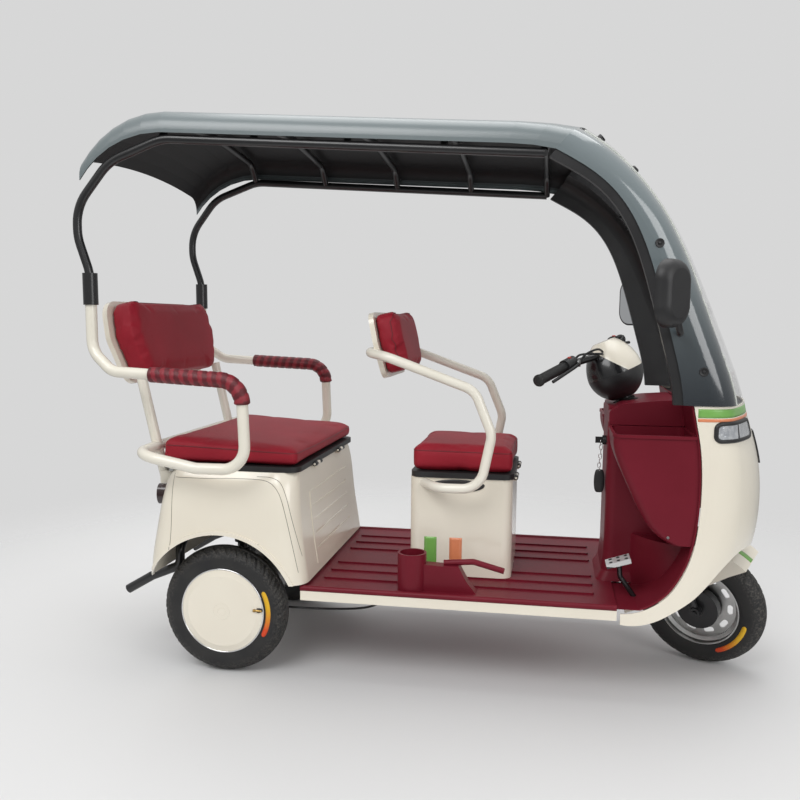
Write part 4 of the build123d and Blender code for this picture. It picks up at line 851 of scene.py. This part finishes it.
store_values(wraps, "band", bands)
put(wraps, "chassis", wrap_leather, "red_leather", "armrest_wraps")
print("wraps", len(bands), "points")

# %% [markdown]
# A tyre's tread is cut by curved grooves that run from the shoulder inwards, with a straight
# channel each side of the middle. The grooves are real geometry: the tyre's skin is a grid
# turned round the wheel, and each point is pressed in where a groove passes.

# %% Tyres with cut tread
crown_r, crown_centre = 0.042, 0.160
wall_points = ((0.040, 0.1640), (0.0402, 0.158), (0.0398, 0.148), (0.0382, 0.138),
               (0.0362, 0.1285), (0.0352, 0.1275))
inner_points = ((0.0345, 0.1300), (0.0335, 0.148), (0.030, 0.168), (0.018, 0.186))
groove_count, groove_deep, tyre_steps = 34, 0.0042, 612
crown_steps, crown_edge = 26, 0.0385


def tyre_profile():
    """Half widths and radii of the outer skin from one bead over the crown to the other."""
    edge = math.asin(crown_edge / crown_r)
    crown = []
    for k in range(crown_steps + 1):
        a = -edge + 2 * edge * k / crown_steps
        crown.append((crown_r * math.sin(a), crown_centre + crown_r * math.cos(a), True))
    wall = [(y, r, False) for y, r in wall_points]
    inner = [(y, r, False) for y, r in inner_points]
    left = [(-y, r, f) for y, r, f in wall]
    back = [(-y, r, f) for y, r, f in inner]
    return list(reversed(left)) + crown + wall + inner + list(reversed(back))


def groove_depth(y, share):
    """How deep the tread is cut at a half width and a share of the way round."""
    out = abs(y) / crown_edge
    lean = 0.9 * out**1.5 + (0.5 if y < 0 else 0.0)
    phase = (share * groove_count + lean) % 1.0
    slot_cut = 1.0 if out > 0.22 and phase < 0.24 + 0.06 * out else 0.0
    fine_cut = 0.5 if 0.45 < out < 0.95 and 0.58 < phase < 0.68 else 0.0
    channel = 1.0 if 0.22 < out < 0.34 else 0.0
    return groove_deep * max(slot_cut * min(1.0, (1.08 - out) * 4), fine_cut, channel)


print("points across a tyre:", len(tyre_profile()))

# %% [markdown]
# Road dust lies in patches near the tread. Each point of a tyre stores how far out it lies,
# and the finish mixes in the dust colour where that value and a noise are both high.

# %% Worn rubber
worn_from, worn_over = 0.165, 0.02
tree = rubber.node_tree
scuffs = add_node(tree, "TexNoise", {"Scale": 60.0, "Detail": 6.0})
dusty = add_node(tree, "Math", operation="MULTIPLY")
wire(tree, (spread(tree, scuffs.outputs["Fac"], 0.48, 0.68), dusty.inputs[0]),
     (stored_value(rubber, "wear"), dusty.inputs[1]))
lay_over(rubber, dusty.outputs["Value"], (0.085, 0.078, 0.068), own="A", other="B")
print("rubber nodes:", len(tree.nodes))

# %% [markdown]
# The profile is turned round each axle in many small steps, so that the grooves keep crisp
# edges. Sharp shading is kept where two faces meet at a steep angle.

# %% Build the tyres


def build_tyre(name, node, body, centre, axis):
    """A treaded tyre about an axle."""
    axis = Vector(axis).normalized()
    front = Vector((0, 0, 1)).cross(axis).normalized()
    head = axis.cross(front)
    profile = tyre_profile()
    verts = []
    for k, a in enumerate(turns(tyre_steps)):
        spoke = -front * math.cos(a) + head * math.sin(a)
        for y, r, cut in profile:
            r -= groove_depth(y, k / tyre_steps) if cut else 0.0
            verts.append(centre + axis * y + spoke * r)
    faces = loop_faces(tyre_steps, len(profile), closed=True)
    thing = mesh_piece(name, verts, [tuple(reversed(f)) for f in faces])
    thing.data.set_sharp_from_angle(angle=math.radians(38))
    arms = [vertex.co - centre for vertex in thing.data.vertices]
    reaches = [(arm - axis * arm.dot(axis)).length for arm in arms]
    store_values(thing, "wear", [min(1.0, max(0.0, (reach - worn_from) / worn_over))
                                 for reach in reaches])
    return put(thing, body, rubber, "tyre_rubber", node)


spin = {j["child"]: (Vector(j["pos_m"]), Vector(j["axis"])) for j in frame["joints"]
        if j["child"].endswith("wheel")}
for label in ("front", "right", "left"):
    build_tyre(label + "_treaded_tyre", label + "_tyre", label + "_wheel", *spin[label + "_wheel"])
print("tyres:", len(spin), "rows each:", tyre_steps)

# %% [markdown]
# The sidewalls carry a printed arc that runs from yellow to orange. It is a thin raised band,
# and its colour follows a value stored on its points from one end to the other.

# %% Coloured arcs on the sidewalls
arc_r, arc_half, arc_face, arc_steps = 0.1500, 0.0076, 0.0404, 40
arc_paint = finish("printed_arc", (0.85, 0.42, 0.012), (0.80, 0.36, 0.010), 0.5, peel, 600, 0.0001,
                   30.0)
tree = arc_paint.node_tree
arc_ramp = add_node(tree, "ValToRGB")
for stop, place, colour in zip(arc_ramp.color_ramp.elements, (0.35, 0.85),
                               ((0.80, 0.46, 0.015, 1), (0.70, 0.06, 0.010, 1))):
    stop.position, stop.color = place, colour
wire(tree, (stored_value(arc_paint, "along"), arc_ramp.inputs["Fac"]),
     (arc_ramp.outputs["Color"], tree.nodes["Principled BSDF"].inputs["Base Color"]))


def sidewall_arc(name, body, centre, axis, out_sign, start_deg, end_deg):
    """A band on a tyre's sidewall between two angles, from yellow to orange."""
    axis = Vector(axis).normalized()
    front = Vector((0, 0, 1)).cross(axis).normalized() * -1
    head = -axis.cross(front)
    verts, along = [], []
    for k in range(arc_steps + 1):
        share = k / arc_steps
        a = math.radians(start_deg + (end_deg - start_deg) * share)
        spoke = front * math.cos(a) + head * math.sin(a)
        close = max(0.05, math.sqrt(max(0.0, 1 - (abs(2 * share - 1)) ** 16)))
        for side, rise in ((-1, -0.0012), (-1, 0.0), (0, 0.0006), (1, 0.0), (1, -0.0012)):
            verts.append(centre + axis * out_sign * (arc_face + rise)
                         + spoke * (arc_r + side * arc_half * close))
            along.append(share)
    thing = mesh_piece(name, verts, loop_faces(arc_steps + 1, 5))
    store_values(thing, "along", along)
    bm = bmesh.new()
    bm.from_mesh(thing.data)
    bmesh.ops.recalc_face_normals(bm, faces=bm.faces)
    bm.to_mesh(thing.data)
    bm.free()
    return put(thing, body, arc_paint, "tyre_rubber")


for sign, tag in both_sides:
    centre, axis = spin[tag + "_wheel"]
    sidewall_arc(tag + "_outer_arc", tag + "_wheel", centre, axis, sign, 28, -30)
    sidewall_arc("front_%s_arc" % tag, "front_wheel", *spin["front_wheel"], sign, -12, -68)
print("arcs printed")

# %% [markdown]
# Each rear wheel has a cream disc cover with a bright ring round it, a shallow boss in its
# middle, and a notch where the brass tyre valve comes through.

# %% Hub cover trims
chrome = finish("bright_ring", (0.80, 0.80, 0.80), (0.72, 0.72, 0.72), 0.14, peel, 200, 0.00005,
                10.0, metal=1.0)
brass = finish("valve_brass", (0.55, 0.36, 0.12), (0.45, 0.28, 0.09), 0.3, peel, 300, 0.0001,
               40.0, metal=1.0)
rim_r, rim_out, ring_r, cover_start = 0.1335, 0.0385, 0.0024, 0.2
valve_place = Vector((0.117, 0, 0.010))
for sign, tag in both_sides:
    centre, axis = spin[tag + "_wheel"]
    out, wheel, cover = Vector((0, sign, 0)), tag + "_wheel", tag + "_hub_cover"
    rim_line = flat_ring(centre + out * rim_out, rim_r, rim_r, 96)
    make(tag + "_cover_ring", [tube_chunk(rim_line, ring_r, 10, closed=True)], chrome,
         "wheel_steel", wheel)
    chunks = []
    for boss_r in (0.026, 0.0125):
        starts = flat_ring(centre + out * cover_start, boss_r, boss_r, 48)
        hits = [hit for hit in (landed(cover, start, -out) for start in starts) if hit]
        chunks.append(tube_chunk([spot for spot, _ in hits], 0.0007, 6, closed=True))
    make(tag + "_cover_boss", chunks, cream_paint, "cream_plastic", wheel)
    seat = landed(cover, centre + valve_place + out * cover_start, -out)[0]
    edge = flat_ring(seat, 0.016, 0.0075, 25)
    pocket = [p + out * rise for rise in (-0.004, 0.0008) for p in edge]
    make(tag + "_valve_pocket", [(pocket, loop_faces(2, 25))], body=wheel)
    stem = [seat + out * 0.0035 + Vector((x, 0, 0)) for x in (-0.010, -0.004, 0.004, 0.014)]
    foot = ((-0.002, 0.0), (-0.002, 0.0045), (0.004, 0.0045), (0.005, 0.0))
    chunks = [tube_chunk(stem, 0.0036, 12), turned_chunk(foot, stem[0], (-1, 0, 0), 12)]
    make(tag + "_valve", chunks, brass, "wheel_steel", wheel)
print("hub trims on both rear wheels")

# %% [markdown]
# The cowl's top edge carries a green band with a thin orange one under it. They are thin
# strips laid on the cowl by rays that point at its middle, so they follow its bow all round.

# %% Stripes round the cowl
green_paint = finish("stripe_green", (0.20, 0.46, 0.10), (0.17, 0.41, 0.085), 0.3, peel, 300,
                     0.0001, 12.0, coat=0.3)
orange_paint = finish("stripe_orange", (0.78, 0.27, 0.13), (0.72, 0.24, 0.11), 0.3, peel, 300,
                      0.0001, 12.0, coat=0.3)
nose_x, nose_far, stripe_end, stripe_steps = 1300.0, 0.44, 78.0, 120


def by_nose(degrees, z):
    """A ray's start round the nose, where 0 degrees is straight ahead."""
    a = math.radians(degrees)
    return at(nose_x + ray_out * math.cos(a), ray_out * math.sin(a), z)


def to_nose(start):
    """The aim from a ray's start to the middle of the nose at the same height."""
    return Vector((at(nose_x, 0, 0).x - start.x, -start.y, 0))


for label, paint, z, wide in (("green", green_paint, 862.5, 0.025),
                              ("orange", orange_paint, 843.5, 0.009)):
    path = [by_nose(-stripe_end + 2 * stripe_end * k / stripe_steps, z)
            for k in range(stripe_steps + 1)]
    strip = laid_chunk("front_cowl", path, to_nose, wide, far=nose_far)
    make("cowl_stripe_" + label, [strip], paint, "cream_plastic")
print("cowl stripes laid")

# %% [markdown]
# The driver's seat box has two upright stripes, green and orange, on each side. The mudguard
# has a green stripe along its middle.

# %% Stripes on the box and mudguard
box_start, strip_low, strip_step, strip_points, strip_wide = 500, 322, 8, 14, 0.040
for sign, tag in both_sides:
    for paint, shade_name, x in ((green_paint, "green", 629), (orange_paint, "orange", 710)):
        path = [at(x, sign * box_start, strip_low + strip_step * k) for k in range(strip_points)]
        strip = laid_chunk("driver_box", path, (0, -sign, 0), strip_wide)
        make("box_stripe_%s_%s" % (shade_name, tag), [strip], paint, "cream_plastic")


def fender_hit(x, y):
    """The mudguard's top at a straight-ahead place, and its normal there."""
    start = steered(at(x, y, 620))
    return landed("front_fender", start, steered(at(x, y, 300)) - start)


fender_half, fender_from, fender_to, fender_steps = 13, 1470, 1668, 30
verts, count = [], 0
for k in range(fender_steps + 1):
    x = fender_from + (fender_to - fender_from) * k / fender_steps
    row = [fender_hit(x, fender_half * share) for share in (-1, -1 / 3, 1 / 3, 1)]
    if None in row:
        continue
    verts += [p + n * rise for (p, n), rise in zip(row, (0.0003, 0.0006, 0.0006, 0.0003))]
    verts += [p - n * 0.0005 for p, n in (row[-1], row[0])]
    count += 1
make("mudguard_stripe", [(verts, loop_faces(count, 6))], green_paint, "cream_plastic", "steering")
print("stripes laid")

# %% [markdown]
# The rear body is moulded in several panels. Their joints show as fine dark lines: one upright
# line near the tail, and a line along the top that turns down in front of the wheel. Each line
# is laid on the panel like the stripes, but narrow and dark.

# %% Panel joints
joint_line = finish("joint_shadow", (0.16, 0.13, 0.095), (0.13, 0.105, 0.075), 0.7, peel, 500,
                    0.0001, 20.0)
joint_wide, joint_lift = 0.0016, 0.0003
tail_joint = [(-152, 632), (-150, 600), (-150, 523), (-152, 460), (-156, 413), (-160, 380)]
side_joint = [(-146, 622), (-100, 622), (-48, 622), (30, 625), (112, 625), (150, 621),
              (172, 610), (190, 590), (203, 560), (216, 510), (229, 450), (240, 400), (252, 345)]
outer_joint = [(118, 633), (160, 632), (188, 622), (204, 600), (218, 560), (232, 500),
               (246, 440), (258, 390)]
for sign, tag in both_sides:
    for label, line in (("tail", tail_joint), ("side", side_joint), ("outer", outer_joint)):
        path = smooth_path([at(x, sign * ray_out, z) for x, z in line])
        strip = laid_chunk("rear_body", path, (0, -sign, 0), joint_wide, joint_lift)
        make("body_joint_%s_%s" % (label, tag), [strip], joint_line, "cream_plastic")
print("panel joints laid")

# %% [markdown]
# The lamps sit in black frames that follow the cowl. The lens is clear plastic over a light
# reflector, with an upright bar between its two chambers.

# %% Lamp frames and lenses
lamp_low, lamp_high, lamp_out_deg, lamp_in_deg, bar_deg = 786.5, 833.5, 68.3, 40.4, 57
mm_per_deg, lamp_bend, frame_wide, frame_tall = 5.5, 13.0, 0.0135, 0.0075
lens_light = finish("lamp_reflector", (0.62, 0.64, 0.66), (0.42, 0.44, 0.47), 0.12, peel, 240,
                    0.0008, 60.0, metal=0.4, coat=1.0)
corners = [Vector((degrees * mm_per_deg, z, 0))
           for degrees, z in ((lamp_out_deg, lamp_low), (lamp_in_deg, lamp_low),
                              (lamp_in_deg, lamp_high), (lamp_out_deg, lamp_high))]
ring = rounded(corners + corners[:2], lamp_bend, 6)[1:-1]
loop = spaced(ring + ring[:1], 3.0)
for sign, tag in both_sides:
    starts = [by_nose(sign * p.x / mm_per_deg, p.y) for p in loop[:-1]]
    make("lamp_frame_" + tag, [laid_chunk("front_cowl", starts, to_nose, frame_wide, frame_tall,
                                          closed=True, sink=0.001)])
    bar = [by_nose(sign * bar_deg, z) for z in range(789, 833, 3)]
    make("lamp_bar_" + tag, [laid_chunk("headlamps", bar, to_nose, 0.007, 0.0012)])
repaint(nodes["headlamps"], lens_light)
print("lamps framed")

# %% [markdown]
# The windscreen's sides end in a pale edge strip, with a small black clip near the top. The
# dark pillar panels beside it have two round recesses, each with a screw at its bottom.

# %% Windscreen edge and pillar recesses
edge_paint = finish("screen_edge", (0.62, 0.64, 0.60), (0.52, 0.54, 0.50), 0.25, peel, 200,
                    0.0001, 12.0)
recess = ((-0.002, 0.0), (-0.002, 0.0125), (0.0012, 0.0125), (0.0016, 0.0112), (0.0004, 0.0095),
          (0.0002, 0.0))
recess_screw = ((0.0001, 0.0), (0.0001, 0.0050), (0.0022, 0.0045), (0.0026, 0.0))
clip = ((-0.002, 0.0), (-0.002, 0.011), (0.005, 0.011), (0.008, 0.008), (0.008, 0.0))
side_from, level_tall = 0.325, 0.02


def outward(spot):
    """How far out on the pane's edge a point lies: sideways first, then forward."""
    return abs(spot.y) + 0.2 * spot.x


pane = nodes["windscreen"]
for sign, tag in both_sides:
    rim = {}
    for vertex in pane.data.vertices:
        spot = pane.matrix_world @ vertex.co
        key = round(spot.z / level_tall)
        if spot.y * sign >= side_from and (key not in rim or outward(spot) > outward(rim[key])):
            rim[key] = spot
    line = [rim[key] for key in sorted(rim)]
    make("screen_edge_" + tag, [tube_chunk(smooth_path(line, 3), 0.0032, 8)], edge_paint,
         "clear_screen")
    chunks = []
    for x, z in ((1273, 1324), (1406, 978)):
        hit = landed("pillar_panels", at(x, sign * ray_out, z), (0, -sign, 0))
        chunks += [turned_chunk(recess, *hit, 28), turned_chunk(recess_screw, *hit, 16)]
    make("pillar_recess_" + tag, chunks)
    make("screen_clip_" + tag,
         [turned_chunk(clip, *landed("windscreen", at(1205, sign * 322, 1900), (0, 0, -1)), 24)])
print("windscreen trimmed")

# %% [markdown]
# Screws are what hold such panels on, and their absence would look wrong up close. Each is a
# domed head with a small dimple, cast onto the panel that it holds.

# %% Screws
screw_steel = finish("screw_steel", (0.30, 0.30, 0.30), (0.20, 0.20, 0.20), 0.35, peel, 400,
                     0.0001, 60.0, metal=1.0)


def head_chunk(node, start, aim, r=0.0045):
    """A domed screw head on a panel."""
    profile = ((-0.001, 0.0), (-0.001, r), (0.0006, r), (0.0018, r * 0.75), (0.0024, r * 0.35),
               (0.0016, r * 0.2), (0.0014, 0.0))
    return turned_chunk(profile, *landed(node, start, aim), 18)


for sign, tag in both_sides:
    screw = head_chunk("inner_shield", at(1334, sign * ray_out, 505), (0, -sign, 0))
    make("shield_screws_" + tag, [screw], screw_steel, "red_plastic")
print("screws set")

# %% [markdown]
# The driver's arm tubes go into the seat box through long black rubber plates. Each plate is
# an oval whose rows of points rise and draw in towards the middle, like a moulded grommet.

# %% Rubber plates where the tubes enter the box
plate_wide, plate_down, plate_up, plate_steps = 0.083, 0.024, 0.016, 48
plate_rows = ((-0.001, 1.0), (0.002, 1.0), (0.004, 0.93), (0.0045, 0.80))
for sign, tag in both_sides:
    centre = at(716, sign * 190, 598)
    rows = [centre + Vector((plate_wide * share * math.cos(a), sign * out,
                             (plate_down if math.sin(a) < 0 else plate_up) * share * math.sin(a)))
            for out, share in plate_rows for a in turns(plate_steps)]
    make("arm_plate_" + tag, [(rows, loop_faces(len(plate_rows), plate_steps))])
print("plates fitted")

# %% [markdown]
# The handlebar's small parts ride on the steering body: red horn buttons, steel lever pivots
# and the control cables that arch from the switches into the bowl. They are drawn with the bar
# straight ahead and then turned to the stored angle, as the model was.

# %% Handlebar fittings
bar_root = Vector((1176.6, 0, 1000))
button_red = finish("button_red", (0.55, 0.035, 0.015), (0.45, 0.025, 0.012), 0.3, peel, 500,
                    0.0001, 60.0, coat=0.4)
button_shape = ((-0.004, 0.0), (-0.004, 0.0062), (0.004, 0.0062), (0.0055, 0.0048), (0.0058, 0.0))
seat_shape = ((-0.008, 0.0), (-0.008, 0.012), (-0.001, 0.0105), (0.0, 0.009), (0.0, 0.0))
pivot_shape = ((-0.009, 0.0), (-0.009, 0.006), (0.009, 0.006), (0.010, 0.004), (0.010, 0.0))
end_shape = ((-0.006, 0.0), (-0.006, 0.0185), (0.0, 0.0185), (0.004, 0.0165), (0.006, 0.010),
             (0.0065, 0.0))


def on_bar(ahead, out, up):
    """A place by the bar's middle, in millimetres, turned with the steering."""
    return steered(at(bar_root.x + ahead, out, bar_root.z + up))


bar_up = (on_bar(0, 0, 10) - on_bar(0, 0, 0)).normalized()
for sign, tag in both_sides:
    button = on_bar(-56, sign * 182, 27)
    pivot = on_bar(-29, sign * 174, 12)
    grip_end = on_bar(-88.5, sign * 331, -12)
    make("horn_button_" + tag, [turned_chunk(button_shape, button, bar_up, 24)], button_red,
         body="steering")
    make("button_seat_" + tag, [turned_chunk(seat_shape, button, bar_up, 28)], body="steering")
    make("lever_pivot_" + tag, [turned_chunk(pivot_shape, pivot, bar_up, 18)], screw_steel,
         "wheel_steel", "steering")
    chunks = []
    for lead, (ahead, out, up, mid_out, mid_up, end_up) in enumerate((
            (-30, 168, 10, 112, 46, 22), (-52, 160, 6, 100, 30, 12))):
        knots = [on_bar(ahead, sign * out, up), on_bar(ahead + 10, sign * (out - 24), up + 24),
                 on_bar(4 + 6 * lead, sign * mid_out, mid_up),
                 on_bar(6, sign * 70, end_up + 8), on_bar(-2, sign * 44, end_up - 26)]
        chunks.append(tube_chunk(smooth_path(knots, 10), 0.0034, 10))
    make("control_leads_" + tag, chunks, body="steering")
    grip_way = grip_end - on_bar(-58, sign * 190, 8)
    make("grip_end_" + tag, [turned_chunk(end_shape, grip_end, grip_way, 28)], rubber,
         "grip_rubber", "steering")
print("handlebar fitted")

# %% [markdown]
# The key is in its lock on the shield. A short chain of wire links hangs from it and carries a
# rounded black fob. Each link is a small closed loop, turned a quarter from the last.

# %% Key, chain and fob
key_x, key_y = 1156, -60
chain_top, chain_foot, link_count = 728, 640, 7
links = []
for k in range(link_count):
    z = chain_top - (chain_top - chain_foot) * k / (link_count - 1)
    across = Vector((1, 0, 0)) if k % 2 else Vector((0, 1, 0))
    loop = flat_ring(at(key_x + 2 * math.sin(k), key_y, z), 0.0048, 0.0098, 20, across)
    links.append(tube_chunk(loop, 0.0011, 8, closed=True))
make("key_chain", links, chrome, "wheel_steel")
fob_wide, fob_deep, fob_tall, fob_levels, fob_steps = 0.017, 0.0075, 0.038, 12, 28
fob_centre = at(key_x, key_y, 604)


def squared(value, power):
    """Bends a sine or cosine so that a circle becomes a rounded square."""
    return math.copysign(abs(value) ** power, value)


fob_rows = []
for j in range(fob_levels + 1):
    a = -math.pi / 2 + math.pi * j / fob_levels
    size = abs(math.cos(a)) ** 0.45
    fob_rows += [fob_centre + Vector((fob_wide * size * squared(math.cos(b), 0.7),
                                      fob_deep * size * squared(math.sin(b), 0.7),
                                      fob_tall * math.sin(a))) for b in turns(fob_steps)]
make("key_fob", [(fob_rows, loop_faces(fob_levels + 1, fob_steps))])
print("key chain links:", link_count)

# %% [markdown]
# The brake pedal is a bright pad on a black arm. Its studs keep a wet shoe from slipping, and
# each is cast down onto the pad like a screw head.

# %% Pedal studs
studs = [head_chunk("brake_pedal", at(1172 + 74 * along, y, 520), (0, 0, -1), 0.0058)
         for along in (0.2, 0.5, 0.8) for y in (-266, -234)]
make("pedal_studs", studs)
print("pedal studs:", len(studs))

# %% [markdown]
# A thin brake cable hangs under the floor from a bracket to the right rear brake. It is the
# model's own cable, drawn again as one smooth line.

# %% Brake cable under the floor
cable_route = ((488, -300, 236), (460, -300, 216), (330, -292, 201), (196, -287, 197),
               (72.3, -286, 199))
cable_d = 0.007
line_data = bpy.data.curves.new("brake_cable_line", "CURVE")
line_data.dimensions = "3D"
spline = line_data.splines.new("NURBS")
spline.points.add(len(cable_route) - 1)
for knot, spot in zip(spline.points, cable_route):
    knot.co = (*at(*spot), 1)
spline.order_u, spline.use_endpoint_u = 3, True
line_data.bevel_depth, line_data.bevel_resolution = cable_d / 2, 4
line_data.use_fill_caps = True
line = bpy.data.objects.new("brake_cable_line", line_data)
scene.collection.objects.link(line)
put(line, "chassis", black_plastic, "black_plastic", "brake_cable")
